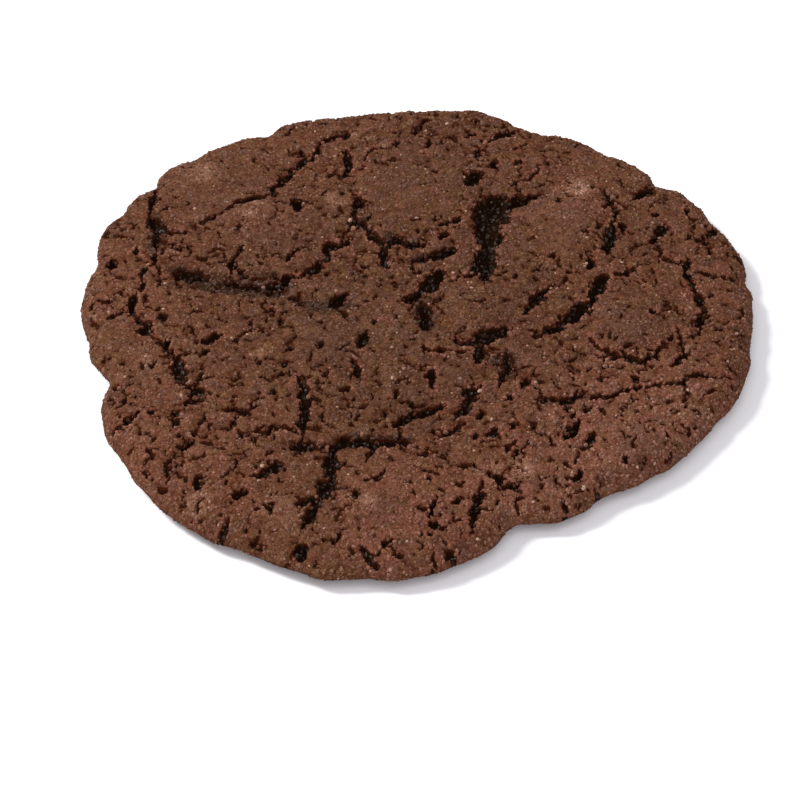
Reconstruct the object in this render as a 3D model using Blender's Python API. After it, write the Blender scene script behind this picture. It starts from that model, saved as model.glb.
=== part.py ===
"""A flat, crackled chocolate cookie, made as one solid.

The cookie is a low dome on a flat underside. Its rim is round in section and uneven in outline, its top
has soft mounds where the dough rose over lumps, and open cracks run between them. Sizes and places are
in millimetres, with +Z up, until the mesh is made in metres.
"""

import math

import bmesh
import bpy
import numpy as np
from mathutils import Vector, geometry

METRES = 0.001

# Section of the cookie
RIM_HEIGHT = 2.2        # height of the widest line of the rim
SHOULDER_HEIGHT = 4.4   # height where the rim turns into the top
DOME_RISE = 2.8         # how much higher the middle of the top is than the shoulder
DOME_POWER = 2.2        # how late the top falls away towards the rim
SHOULDER_RUN = 2.6      # how far in from the rim the top's edge is rounded
UNDER_RUN = 2.5         # how far in from the rim the underside lifts off the table
FLOOR_LEFT = 1.6        # least thickness under a crack

# Outline: bearing in degrees from +X, radius about OUTLINE_MIDDLE
OUTLINE_MIDDLE = (0.0, 0.9)
OUTLINE = [
    (0, 49.4), (6, 50.4), (10, 50.9), (12, 50.3), (15, 51.3), (22, 51.5), (28.5, 50.8), (34, 51.1),
    (38, 50.8), (40.5, 49.0), (44, 49.9), (53, 49.1), (57, 49.4), (62, 48.9), (67, 47.9), (70, 48.3),
    (73, 49.3), (78, 50.1), (84, 49.7), (92, 49.3), (104, 49.6), (110, 49.9), (116, 50.3), (118.5, 49.1),
    (121, 50.3), (126, 51.2), (132, 51.7), (139.5, 52.4), (142, 51.3), (145, 52.0), (148, 52.3),
    (151, 51.9), (154, 52.6), (158, 52.2), (162, 51.0), (170, 50.9), (176, 50.3), (181, 49.2),
    (186, 48.5), (190, 47.2), (192.5, 46.5), (195, 47.5), (199, 49.0), (206, 49.9), (213, 50.2),
    (219, 50.7), (227, 51.2), (232, 51.1), (238, 50.4), (244, 50.3), (250, 50.5), (256, 50.6),
    (260, 49.7), (269, 48.7), (274, 47.5), (278, 46.2), (284, 43.8), (287, 42.0), (290, 41.1),
    (293, 41.5), (297, 42.6), (302, 42.9), (311, 42.6), (316, 43.9), (320, 44.7), (325, 45.6),
    (331, 46.1), (337, 47.2), (346, 48.7), (354, 49.4),
]
WOBBLE = [(0.10, 23, 1.3), (0.09, 37, 0.4), (0.06, 58, 2.2)]   # rim waves: height, number, phase

# Mounds: middle, radius, height
MOUNDS = [
    (-25.0, 22.0, 9.5, 1.1), (24.0, 23.0, 10.0, 1.2), (30.0, -1.0, 9.0, 1.1), (8.5, 1.5, 6.5, 1.1),
    (-15.0, -5.0, 10.0, 0.8), (-5.0, -37.0, 9.5, 1.0), (30.0, -24.0, 9.0, 1.0), (-32.0, 33.0, 6.5, 0.8),
    (0.0, 32.0, 11.0, 0.5), (-13.0, 27.0, 4.5, 0.7), (-32.0, -20.0, 4.5, 0.6), (-31.0, -28.0, 5.0, 0.6),
    (-2.0, -13.0, 6.0, 0.6), (42.0, 20.0, 6.0, 0.5), (25.0, -21.5, 2.5, 0.5), (18.0, -10.0, 6.0, 0.6),
    (-33.0, 0.0, 5.0, 0.6), (13.0, -29.0, 6.0, 0.5),
]
# Waves of the top: height, turns along X and Y for each millimetre, phase
WAVES = [
    (0.16, 0.19, 0.11, 0.7), (0.14, -0.13, 0.23, 2.1), (0.10, 0.33, -0.21, 4.0), (0.08, 0.24, 0.41, 1.2),
]

# Cracks: width at the middle of the route, then the route's points
CRACKS = [
    # back, from left to right
    (0.6, [(-9.5, 43.5), (-12, 42), (-15, 40.5)]),
    (0.8, [(-15, 40.5), (-15.5, 37.5), (-18, 34.5), (-20, 32), (-22, 29.5), (-21.5, 27)]),
    (1.2, [(-22, 28), (-26.5, 26), (-29, 24.5), (-30, 23)]),
    (0.6, [(-30, 23.5), (-31.5, 22.5), (-33, 21)]),
    (1.6, [(-18.5, 26.5), (-18, 24)]),
    (1.0, [(-11, 38.5), (-11, 36.5), (-10.5, 34), (-11.5, 31.5)]),
    (0.6, [(-6.5, 39), (-8, 37.5), (-8, 36)]),
    (0.9, [(-9, 27), (-9.5, 24.5), (-9.5, 20.5), (-8, 19), (-6.5, 17), (-5, 15.5), (-5, 13.5), (-4.5, 11)]),
    (1.4, [(-9, 26.5), (-9.5, 23.5)]),
    (1.6, [(-8.5, 20), (-6.5, 17.5), (-5, 16.5)]),
    (1.5, [(-5, 15.5), (-5, 11.5)]),
    (1.4, [(-5, 16), (-3, 17), (-1.5, 16), (0.5, 15.5), (1.5, 16)]),
    (1.0, [(15.5, 44), (13.5, 42.5), (12, 41.5), (11, 40)]),
    (0.9, [(9, 42.5), (7.5, 41.5)]),
    (0.9, [(9.5, 39), (9, 36)]),
    (0.8, [(3, 48.5), (3, 47)]),
    (0.9, [(12, 35.5), (11.5, 34)]),
    (1.6, [(9.5, 33), (8.5, 31), (8, 30)]),
    (0.8, [(0, 44), (-0.5, 42.5)]),
    (1.8, [(18.5, 27.5), (16, 26.5), (13.5, 25), (11.5, 24.5)]),
    (4.0, [(12, 25.5), (11, 23), (10.5, 19)]),
    (2.7, [(10.5, 22), (10.5, 17), (10, 12.5), (10, 8.5)]),
    (0.7, [(9.5, 10), (7, 9), (5, 8)]),
    (1.3, [(6.5, 22), (4.5, 21), (3.5, 20.5)]),
    (1.1, [(4.5, 18.5), (3, 17.5)]),
    (0.6, [(15.5, 30.5), (17.5, 31.5), (18.5, 33.5), (19, 35)]),
    (1.1, [(36.5, 31), (35, 29.5), (33.5, 28), (32.5, 27)]),
    (0.7, [(27.5, 29.5), (29, 28), (29.5, 26), (30, 23.5), (29.5, 20.5)]),
    (1.5, [(29.5, 21), (29, 17), (28, 14.5)]),
    (1.5, [(37.5, 21.5), (37, 20), (35.5, 17.5)]),
    (1.3, [(45, 21.5), (44.5, 19.5)]),
    (0.6, [(36, 16.5), (37, 13.5), (38.5, 13), (40, 13.5)]),
    # left
    (0.7, [(-40, 30.5), (-40.5, 26.5), (-40.5, 23.5), (-39.5, 21), (-39.5, 17), (-39.5, 13), (-41.5, 11),
           (-41, 8), (-42.5, 6), (-42.5, 2.5), (-41.5, 1), (-40, 0.5), (-40.5, -2)]),
    (1.2, [(-40.5, 28.5), (-40.5, 26.5)]),
    (1.5, [(-40.5, 23.5), (-39.5, 21.5), (-39, 19.5)]),
    (0.9, [(-41, 9), (-41, 7)]),
    (1.1, [(-42.5, 6), (-42.5, 2)]),
    (1.2, [(-40, 0), (-40.5, -2)]),
    (0.6, [(-39, 20), (-37, 19.5), (-35, 19.5)]),
    (0.6, [(-43, 3), (-46, 1.5)]),
    (0.6, [(-40, -2.5), (-37.5, -4), (-36, -6.5), (-35.5, -8)]),
    (1.4, [(-35.5, -7.5), (-35, -10), (-34.5, -12)]),
    (0.6, [(-34.5, -12), (-34, -13.5), (-33, -13.5)]),
    (1.3, [(-33.5, -13.5), (-31.5, -14.5)]),
    (0.8, [(-34, -17.5), (-33.5, -16.5), (-31, -16.5)]),
    (0.8, [(-26.5, 16), (-27, 14.5), (-28, 12.5), (-28, 10.5)]),
    (0.7, [(-18, 15.5), (-19, 14), (-19.5, 12.5)]),
    (1.2, [(-10, 17), (-11.5, 16), (-13.5, 15.5), (-13.5, 13.5), (-14.5, 12), (-16, 10.5), (-17.5, 9)]),
    (0.9, [(-29, -3), (-30.5, -4), (-32, -4.5)]),
    (0.6, [(-25, -0.5), (-24.5, -2.5)]),
    (0.6, [(-31.5, -10.5), (-32, -12.5)]),
    (0.6, [(-27.5, -13.5), (-26.5, -14), (-25.5, -13.5)]),
    (0.9, [(-40.5, -18), (-42, -19.5), (-43.5, -20.5), (-44, -21)]),
    (0.8, [(-35, -20), (-35, -21)]),
    (1.2, [(-36.5, 11), (-34, 10.5), (-31.5, 9.5)]),
    (0.8, [(-30.5, 9), (-28, 8.5), (-25.5, 8), (-23.5, 7.5)]),
    (1.2, [(-22.5, 8), (-20, 8.5), (-18.5, 9)]),
    (0.7, [(-19, 6), (-17, 4)]),
    # middle
    (1.9, [(6, 15), (4, 14), (2, 13)]),
    (1.0, [(2, 12.5), (-0.5, 12)]),
    (2.0, [(3.5, 10), (2, 7.5), (0, 5)]),
    (1.2, [(0, 4.5), (-2, 3.5)]),
    (2.1, [(1, 2.5), (1, 0.5), (1, -2)]),
    (1.5, [(-10.5, 5.5), (-12, 4), (-12.5, 2.5)]),
    (0.6, [(-12, 2), (-11, 1), (-10, -1)]),
    (1.0, [(-7.5, -3), (-8, -4.5), (-8.5, -7)]),
    (0.8, [(-9.5, -9), (-9, -12)]),
    (1.1, [(2, -10.5), (2, -15)]),
    (0.6, [(0.5, -6), (2, -7), (4, -7), (5, -7)]),
    (1.5, [(5, -4.5), (6, -5.5), (7.5, -6), (9.5, -4.5), (11.5, -3.5), (14, -2)]),
    (1.4, [(9, -5.5), (9, -8), (8.5, -10)]),
    (1.1, [(15.5, 1), (16.5, 2.5), (17.5, 4.5), (19.5, 6.5)]),
    (0.8, [(13, -7), (13, -9.5), (12.5, -12.5), (11.5, -14.5)]),
    (1.1, [(16, -13), (15, -14.5)]),
    (1.4, [(9, -14), (7.5, -15), (7.5, -17), (6.5, -19), (5.5, -20)]),
    # right
    (0.8, [(32.5, 11), (31, 10), (29.5, 9.5)]),
    (1.9, [(28, 9), (27, 7.5), (26, 5.5), (25.5, 3.5), (24, 2.5), (23, 1), (21, -1), (19.5, -2.5)]),
    (0.6, [(18, -3.5), (16.5, -3)]),
    (1.2, [(25.5, 13.5), (26, 12.5), (25.5, 10.5)]),
    (1.0, [(40.5, 14), (40, 12), (41, 8.5), (41.5, 6.5), (42.5, 3.5), (42, 1.5), (41.5, -1), (41.5, -2.5)]),
    (0.9, [(38, -0.5), (38.5, -2), (39, -6), (39, -7), (38, -8.5), (36.5, -9.5)]),
    (0.6, [(25, -4), (25.5, -5), (27, -6.5), (28, -7), (27, -9)]),
    (0.7, [(28.5, -8.5), (30.5, -7.5), (31.5, -8.5), (33, -8.5), (35, -7), (36, -5)]),
    (0.6, [(46, -10.5), (43.5, -11), (40, -11), (38, -12.5), (34.5, -13), (31, -14), (28, -15.5),
           (25, -16.5)]),
    (1.0, [(24.5, -15), (23, -16), (21, -17), (19, -16.5), (17.5, -17)]),
    # front
    (1.1, [(-17.5, -12.5), (-16.5, -15), (-16.5, -18), (-16.5, -20.5), (-16.5, -23)]),
    (1.7, [(3.5, -18), (2, -19), (0, -19.5), (-2, -20.5), (-3.5, -22)]),
    (0.6, [(6.5, -21), (6, -22), (4, -23.5), (2, -24.5)]),
    (1.0, [(0, -26.5), (-1.5, -25.5), (-3.5, -25.5), (-6, -26)]),
    (1.8, [(-4, -25.5), (-6, -26), (-8.5, -25.5), (-11, -25.5), (-12.5, -26.5)]),
    (1.7, [(-12.5, -26), (-12.5, -28), (-12.5, -30.5), (-12.5, -32.5), (-13, -34.5), (-14, -36.5)]),
    (1.4, [(-14, -36.5), (-15.5, -36.5), (-17.5, -37)]),
    (1.2, [(-14, -36.5), (-15, -38.5), (-16, -40), (-16.5, -41.5)]),
    (1.3, [(-32.5, -24), (-33, -25), (-34, -26)]),
    (0.6, [(-28.5, -18.5), (-24.5, -19), (-24, -20.5)]),
    (0.6, [(-24, -23), (-22, -23.5), (-20.5, -22), (-18, -23), (-16.5, -24)]),
    (1.3, [(-18, -26), (-15, -26)]),
    (1.2, [(-19.5, -29), (-21, -30), (-22, -31), (-23.5, -31)]),
    (0.8, [(-30.5, -31), (-31.5, -31.5), (-31.5, -33.5)]),
    (1.3, [(-24.5, -34), (-26.5, -35)]),
    (0.7, [(-27, -39.5), (-28, -41), (-27.5, -42)]),
    (0.7, [(2.5, -35.5), (2, -37.5), (1.5, -39.5)]),
    (0.8, [(6, -35.5), (5, -36.5)]),
    (0.6, [(-4.5, -31), (-6, -33), (-8, -33.5)]),
    (1.1, [(9, -32), (8.5, -36), (7.5, -39), (7.5, -41), (7, -42)]),
    (0.9, [(-8, -44.5), (-6.5, -46.5), (-5.5, -47.5)]),
    (0.9, [(11.5, -22.5), (10.5, -24)]),
    (0.8, [(8, -23), (8, -24.5)]),
    (0.7, [(14.5, -21.5), (13, -23)]),
    (1.4, [(23, -20.5), (22.5, -22), (22, -23.5), (21, -24.5)]),
    (1.0, [(25, -23.5), (24, -25)]),
    (0.9, [(23, -29.5), (23, -30.5), (21, -31.5)]),
]

# Broad shallow troughs: width, depth, route
TROUGHS = [
    (5.0, 1.1, [(-37, 11), (-33, 9), (-29, 8), (-25, 7.5), (-20.5, 7)]),
    (3.5, 0.7, [(-20.5, 6), (-17.5, 4), (-14.5, 2.5)]),
    (4.0, 0.5, [(-8.5, -36), (-7.5, -39), (-6.5, -41)]),
]

# Pits: middle, radius
PITS = [
    (-46.0, 13.5, 1.0), (-42.5, 16.0, 0.6), (31.0, 20.5, 0.6), (25.5, 18.0, 0.6), (44.0, 19.0, 0.7),
    (36.0, 24.0, 0.6), (2.5, 32.5, 0.5), (15.5, 35.0, 0.5), (-20.0, 8.5, 0.9), (-34.0, 10.0, 0.9),
    (-23.5, 12.0, 0.5), (-8.0, 11.0, 0.5), (-37.0, -4.0, 0.6), (19.5, -2.0, 1.1), (34.5, 1.5, 0.6),
    (31.5, -11.5, 0.6), (13.0, -16.5, 0.6), (-16.5, -45.0, 1.0), (-12.0, -26.5, 1.0), (11.5, -32.0, 0.8),
    (13.5, -33.0, 0.7), (2.5, -41.0, 0.8), (4.5, -45.0, 0.6), (28.0, -33.5, 0.6), (29.5, -28.0, 0.5),
    (33.0, -30.0, 0.5), (21.0, -37.0, 0.6), (43.5, 11.0, 0.6), (-38.5, -18.5, 0.5),
]

# How the cracks are cut
DEPTH_SHARE = 0.85      # depth of a crack for each millimetre of its width
DEPTH_BASE = 0.55       # and what every crack has before that
DEEPEST = 3.2
END_SHARE = 0.35        # share of its width that a crack has at its ends
END_WIDENING = 0.09     # more of it for each millimetre of width
END_MOST = 0.7
END_RUN = 2.0           # length over which a crack narrows to its ends
SHORTEST_SHARE = 0.8    # share of its width that a crack of two or three points has all along
WALL_POWER = 2.2        # how upright the walls are
SWAY = 0.18             # how far a crack's line strays from its route
SWAY_WAVE = 2.6         # length of that straying

# Mesh
RIM_POINTS = 180
TOP_RINGS = [0.25, 1.0, 2.4]        # distances in from the rim on the top
UNDER_RINGS = [1.2, 2.5]            # and on the underside
CRACK_STEP = 1.15
WIDE_HALF = 1.1         # half width over which a crack has a row of points on each wall
WALL_ROW = 0.55         # where that row lies, as a share of the way from the floor's line to the edge
FILL_STEP = 1.62
FILL_STRAY = 0.16
FILL_REACH = 54.0
CLEAR_OF_CRACK = 0.8
CLEAR_OF_RIM = 3.3
CRACK_CLEAR_OF_RIM = 2.8
CLOSEST = 0.32
CELL = 0.9              # size of the squares that the points are looked up in, over every least gap
PIT_CORNERS = 6
CDT_MERGE = 1e-5
SEED = 11

# Finish
BROWN = (0.105, 0.045, 0.026, 1.0)
ROUGHNESS = 0.85
SHARP_ANGLE = 50.0      # degrees between faces over which their edge is shaded sharp


def clear_scene():
    for thing in list(bpy.context.scene.objects):
        bpy.data.objects.remove(thing, do_unlink=True)


def outline_radius(bearing):
    """Radius at bearings in radians: a smooth closed curve through OUTLINE, with small waves."""
    at = np.radians([point[0] for point in OUTLINE])
    value = np.array([point[1] for point in OUTLINE])
    turn = 2 * math.pi
    bearing = np.mod(bearing, turn)
    at = np.concatenate([at[-2:] - turn, at, at[:2] + turn])
    value = np.concatenate([value[-2:], value, value[:2]])
    slope = np.gradient(value, at)
    right = np.clip(np.searchsorted(at, bearing, side="right"), 1, len(at) - 1)
    left = right - 1
    span = at[right] - at[left]
    t = (bearing - at[left]) / span
    radius = (
        value[left] * (1 + 2 * t) * (1 - t) ** 2
        + slope[left] * span * t * (1 - t) ** 2
        + value[right] * t**2 * (3 - 2 * t)
        + slope[right] * span * t**2 * (t - 1)
    )
    for height, number, phase in WOBBLE:
        radius = radius + height * np.sin(number * bearing + phase)
    return radius


def ring(inset, count):
    """Points of the outline, moved in by inset."""
    bearing = np.arange(count) * (2 * math.pi / count)
    radius = outline_radius(bearing) - inset
    x = OUTLINE_MIDDLE[0] + radius * np.cos(bearing)
    y = OUTLINE_MIDDLE[1] + radius * np.sin(bearing)
    return np.stack([x, y], axis=1)


def sampled_route(points, step):
    """Evenly spaced points along a route, straying a little from side to side."""
    points = np.array(points, dtype=float)
    along = np.concatenate([[0.0], np.cumsum(np.linalg.norm(np.diff(points, axis=0), axis=1))])
    count = max(2, int(round(along[-1] / step)) + 1)
    at = np.linspace(0.0, along[-1], count)
    line = np.stack([np.interp(at, along, points[:, axis]) for axis in (0, 1)], axis=1)
    forward = np.gradient(line, axis=0)
    forward /= np.linalg.norm(forward, axis=1)[:, None]
    side = np.stack([-forward[:, 1], forward[:, 0]], axis=1)
    phase = points[0, 0] + 2.0 * points[0, 1]
    stray = np.sin(2 * math.pi * at / SWAY_WAVE + phase) + 0.6 * np.sin(11.0 * at / SWAY_WAVE + 2 * phase)
    ends = np.minimum(at, along[-1] - at)
    return line + side * (SWAY * stray * np.clip(ends / END_RUN, 0, 1))[:, None], ends


class Groove:
    """A crack or trough: a line with a half width and a depth at each of its points."""

    def __init__(self, width, depth, points, step):
        self.line, ends = sampled_route(points, step)
        end_share = min(END_MOST, END_SHARE + END_WIDENING * width)
        narrowing = end_share + (1 - end_share) * np.clip(ends / END_RUN, 0, 1) ** 0.7
        if len(self.line) < 4:
            narrowing = np.full(len(self.line), SHORTEST_SHARE)
        self.half = 0.5 * width * narrowing
        self.depth = depth * narrowing**0.7

    def cut(self, x, y, power):
        """Depth of the groove at the given places."""
        reach = self.half.max()
        low = self.line.min(axis=0) - reach
        high = self.line.max(axis=0) + reach
        near = np.nonzero((x > low[0]) & (x < high[0]) & (y > low[1]) & (y < high[1]))[0]
        depth = np.zeros(len(x))
        if len(near) == 0:
            return depth
        place = np.stack([x[near], y[near]], axis=1)[:, None, :]
        start = self.line[None, :-1]
        run = self.line[None, 1:] - start
        t = ((place - start) * run).sum(axis=2) / np.maximum((run**2).sum(axis=2), 1e-9)
        t = np.clip(t, 0, 1)
        gap = np.linalg.norm(place - start - run * t[:, :, None], axis=2)
        half = self.half[None, :-1] * (1 - t) + self.half[None, 1:] * t
        deep = self.depth[None, :-1] * (1 - t) + self.depth[None, 1:] * t
        depth[near] = (deep * np.clip(1 - (gap / half) ** power, 0, None)).max(axis=1)
        return depth

    def rows(self):
        """Both edges and the floor, as rows of points; a wide crack has a row on each wall too."""
        forward = np.gradient(self.line, axis=0)
        forward /= np.linalg.norm(forward, axis=1)[:, None]
        side = np.stack([-forward[:, 1], forward[:, 0]], axis=1) * self.half[:, None]
        shares = [-1.0, 0.0, 1.0]
        if self.half.max() > WIDE_HALF:
            shares = [-1.0, -WALL_ROW, 0.0, WALL_ROW, 1.0]
        return [self.line + side * share for share in shares]


def crack_depth(width):
    return min(DEEPEST, DEPTH_BASE + DEPTH_SHARE * width)


def make_cracks():
    return [Groove(width, crack_depth(width), points, CRACK_STEP) for width, points in CRACKS]


def make_troughs():
    return [Groove(width, depth, points, CRACK_STEP) for width, depth, points in TROUGHS]


def inset_at(x, y):
    """Distance in from the rim, and share of the way out to it."""
    across = x - OUTLINE_MIDDLE[0]
    up = y - OUTLINE_MIDDLE[1]
    radius = np.hypot(across, up)
    edge = outline_radius(np.arctan2(up, across))
    return edge - radius, radius / edge


def quarter_round(inset, run):
    """Rises from 0 at the rim to 1 at run, as a quarter of an ellipse does."""
    share = np.clip(inset / run, 0, 1)
    return np.sqrt(np.clip(1 - (1 - share) ** 2, 0, 1))


def under_height(x, y):
    inset, _ = inset_at(x, y)
    return RIM_HEIGHT * (1 - np.clip(inset / UNDER_RUN, 0, 1))


def top_height(x, y, cracks, troughs):
    inset, out = inset_at(x, y)
    height = SHOULDER_HEIGHT + DOME_RISE * np.sqrt(np.clip(1 - out**DOME_POWER, 0, 1))
    for middle_x, middle_y, radius, rise in MOUNDS:
        share = np.hypot(x - middle_x, y - middle_y) / radius
        height = height + rise * np.clip(1 - share**2, 0, 1) ** 2
    for rise, wave_x, wave_y, phase in WAVES:
        height = height + rise * np.sin(wave_x * x + wave_y * y + phase)
    for trough in troughs:
        height = height - trough.cut(x, y, 2.0)
    depth = np.zeros(len(x))
    for crack in cracks:
        depth = np.maximum(depth, crack.cut(x, y, WALL_POWER))
    for middle_x, middle_y, radius in PITS:
        share = np.hypot(x - middle_x, y - middle_y) / radius
        depth = np.maximum(depth, crack_depth(2 * radius) * np.clip(1 - share**WALL_POWER, 0, 1))
    floor = under_height(x, y) + FLOOR_LEFT
    whole = RIM_HEIGHT + (height - RIM_HEIGHT) * quarter_round(inset, SHOULDER_RUN)
    return np.maximum(whole - depth, np.minimum(floor, whole))


class Places:
    """Points of the top in plan, none nearer to an earlier one than it may be."""

    def __init__(self):
        self.kept = []
        self.cells = {}

    def add(self, x, y, clear):
        column = math.floor(x / CELL)
        row = math.floor(y / CELL)
        for near_column in (column - 1, column, column + 1):
            for near_row in (row - 1, row, row + 1):
                for other_x, other_y in self.cells.get((near_column, near_row), ()):
                    if math.hypot(x - other_x, y - other_y) < clear:
                        return
        self.kept.append((x, y))
        self.cells.setdefault((column, row), []).append((x, y))


def add_cracks(places, cracks):
    for crack in cracks:
        for row in crack.rows():
            inside = inset_at(row[:, 0], row[:, 1])[0] > CRACK_CLEAR_OF_RIM
            for x, y in row[inside]:
                places.add(x, y, CLOSEST)


def add_pits(places):
    for x, y, radius in PITS:
        places.add(x, y, CLOSEST)
        for corner in range(PIT_CORNERS):
            angle = corner * 2 * math.pi / PIT_CORNERS + x
            places.add(x + radius * math.cos(angle), y + radius * math.sin(angle), CLOSEST)


def add_filling(places):
    """Points spread evenly between the cracks, clear of them and of the rim."""
    stray = np.random.default_rng(SEED)
    row_step = FILL_STEP * math.sqrt(3) / 2
    rows = int(FILL_REACH / row_step)
    columns = int(FILL_REACH / FILL_STEP) + 1
    for row in range(-rows, rows + 1):
        for column in range(-columns, columns + 1):
            x = (column + 0.5 * (row % 2)) * FILL_STEP + stray.uniform(-FILL_STRAY, FILL_STRAY)
            y = row * row_step + stray.uniform(-FILL_STRAY, FILL_STRAY)
            if inset_at(np.array([x]), np.array([y]))[0][0] > CLEAR_OF_RIM:
                places.add(x, y, CLEAR_OF_CRACK)


def plan_triangles(cracks):
    """Points of the top, seen from above, and its triangles. The rim's points come first."""
    places = Places()
    for inset in [0.0] + TOP_RINGS:
        for x, y in ring(inset, RIM_POINTS):
            places.add(x, y, 0.0)
    add_cracks(places, cracks)
    add_pits(places)
    add_filling(places)
    rim = list(range(RIM_POINTS))
    flat = [Vector(place) for place in places.kept]
    points, _, triangles, _, _, _ = geometry.delaunay_2d_cdt(flat, [], [rim], 1, CDT_MERGE)
    return np.array([tuple(point) for point in points]), triangles


def cookie_mesh():
    cracks = make_cracks()
    points, triangles = plan_triangles(cracks)
    height = top_height(points[:, 0], points[:, 1], cracks, make_troughs())
    height[:RIM_POINTS] = RIM_HEIGHT
    shape = bmesh.new()
    top = [shape.verts.new((x, y, z)) for (x, y), z in zip(points, height)]
    for triangle in triangles:
        face = shape.faces.new([top[index] for index in triangle])
        if face.normal.z < 0:
            face.normal_flip()
    above = top[:RIM_POINTS]
    for inset in UNDER_RINGS:
        places = ring(inset, RIM_POINTS)
        lift = under_height(places[:, 0], places[:, 1])
        below = [shape.verts.new((x, y, z)) for (x, y), z in zip(places, lift)]
        for index in range(RIM_POINTS):
            after = (index + 1) % RIM_POINTS
            shape.faces.new([above[index], below[index], below[after], above[after]])
        above = below
    shape.faces.new(above[::-1])
    bmesh.ops.triangulate(shape, faces=[face for face in shape.faces if len(face.verts) > 3])
    bmesh.ops.recalc_face_normals(shape, faces=shape.faces)
    centre(shape)
    mesh = bpy.data.meshes.new("cookie")
    shape.to_mesh(mesh)
    shape.free()
    mesh.shade_smooth()
    mesh.set_sharp_from_angle(angle=math.radians(SHARP_ANGLE))
    return mesh


def centre(shape):
    """Puts the middle of the box over the origin, with the underside at height 0, in metres."""
    corners = np.array([vertex.co[:] for vertex in shape.verts])
    low = corners.min(axis=0)
    high = corners.max(axis=0)
    middle = Vector(((low[0] + high[0]) / 2, (low[1] + high[1]) / 2, low[2]))
    for vertex in shape.verts:
        vertex.co = (vertex.co - middle) * METRES


def chocolate_dough():
    material = bpy.data.materials.new("chocolate dough")
    material.use_nodes = True
    shader = material.node_tree.nodes["Principled BSDF"]
    shader.inputs["Base Color"].default_value = BROWN
    shader.inputs["Roughness"].default_value = ROUGHNESS
    shader.inputs["Metallic"].default_value = 0.0
    material.diffuse_color = BROWN
    return material


def main():
    clear_scene()
    mesh = cookie_mesh()
    mesh.materials.append(chocolate_dough())
    cookie = bpy.data.objects.new("cookie", mesh)
    bpy.context.scene.collection.objects.link(cookie)


main()
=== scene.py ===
"""The looks of a flat, crackled chocolate cookie: its baked body, loose crumbs and sugar, floor and light.

Sizes and places are in millimetres, as the cookie's maker would give them, and become metres when a mesh
or a light is made. The body's outline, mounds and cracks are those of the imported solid, cut finer.
"""

import math

import bpy
import numpy as np
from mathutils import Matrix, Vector, geometry, noise


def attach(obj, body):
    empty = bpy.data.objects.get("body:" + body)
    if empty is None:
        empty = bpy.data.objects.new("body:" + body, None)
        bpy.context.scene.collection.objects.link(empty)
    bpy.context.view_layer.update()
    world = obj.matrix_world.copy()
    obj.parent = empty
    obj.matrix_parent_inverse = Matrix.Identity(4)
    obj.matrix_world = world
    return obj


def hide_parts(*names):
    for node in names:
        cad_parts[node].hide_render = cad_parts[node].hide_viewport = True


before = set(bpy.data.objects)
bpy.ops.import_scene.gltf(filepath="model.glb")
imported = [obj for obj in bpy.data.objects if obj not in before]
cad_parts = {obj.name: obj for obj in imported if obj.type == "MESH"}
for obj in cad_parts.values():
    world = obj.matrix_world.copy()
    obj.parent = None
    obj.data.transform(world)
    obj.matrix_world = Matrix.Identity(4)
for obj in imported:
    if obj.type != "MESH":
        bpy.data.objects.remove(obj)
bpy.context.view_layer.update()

METRES = 0.001          # in a millimetre
MILLIMETRES = 1000.0    # in a metre
TINY = 1e-9             # keeps a length from being divided by nothing

# Section of the cookie
RIM_HEIGHT = 2.2        # height of the widest line of the rim
SHOULDER_HEIGHT = 4.4   # height where the rim turns into the top
DOME_RISE = 2.8         # how much higher the middle of the top is than the shoulder
DOME_POWER = 2.2        # how late the top falls away towards the rim
SHOULDER_RUN = 2.6      # how far in from the rim the top's edge is rounded
UNDER_RUN = 2.5         # how far in from the rim the underside lifts off the table
FLOOR_LEFT = 1.6        # least thickness under a crack
SOLID_RIM_POINTS = 180  # points round the solid's rim, which set where its box has its middle

# Outline: bearing in degrees from +X, radius about OUTLINE_MIDDLE
OUTLINE_MIDDLE = (0.0, 0.9)
OUTLINE = [
    (0, 49.4), (6, 50.4), (10, 50.9), (12, 50.3), (15, 51.3), (22, 51.5), (28.5, 50.8), (34, 51.1),
    (38, 50.8), (40.5, 49.0), (44, 49.9), (53, 49.1), (57, 49.4), (62, 48.9), (67, 47.9), (70, 48.3),
    (73, 49.3), (78, 50.1), (84, 49.7), (92, 49.3), (104, 49.6), (110, 49.9), (116, 50.3), (118.5, 49.1),
    (121, 50.3), (126, 51.2), (132, 51.7), (139.5, 52.4), (142, 51.3), (145, 52.0), (148, 52.3),
    (151, 51.9), (154, 52.6), (158, 52.2), (162, 51.0), (170, 50.9), (176, 50.3), (181, 49.2),
    (186, 48.5), (190, 47.2), (192.5, 46.5), (195, 47.5), (199, 49.0), (206, 49.9), (213, 50.2),
    (219, 50.7), (227, 51.2), (232, 51.1), (238, 50.4), (244, 50.3), (250, 50.5), (256, 50.6),
    (260, 49.7), (269, 48.7), (274, 47.5), (278, 46.2), (284, 43.8), (287, 42.0), (290, 41.1),
    (293, 41.5), (297, 42.6), (302, 42.9), (311, 42.6), (316, 43.9), (320, 44.7), (325, 45.6),
    (331, 46.1), (337, 47.2), (346, 48.7), (354, 49.4),
]
WOBBLE = [(0.10, 23, 1.3), (0.09, 37, 0.4), (0.06, 58, 2.2)]   # rim waves: height, number, phase

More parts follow.
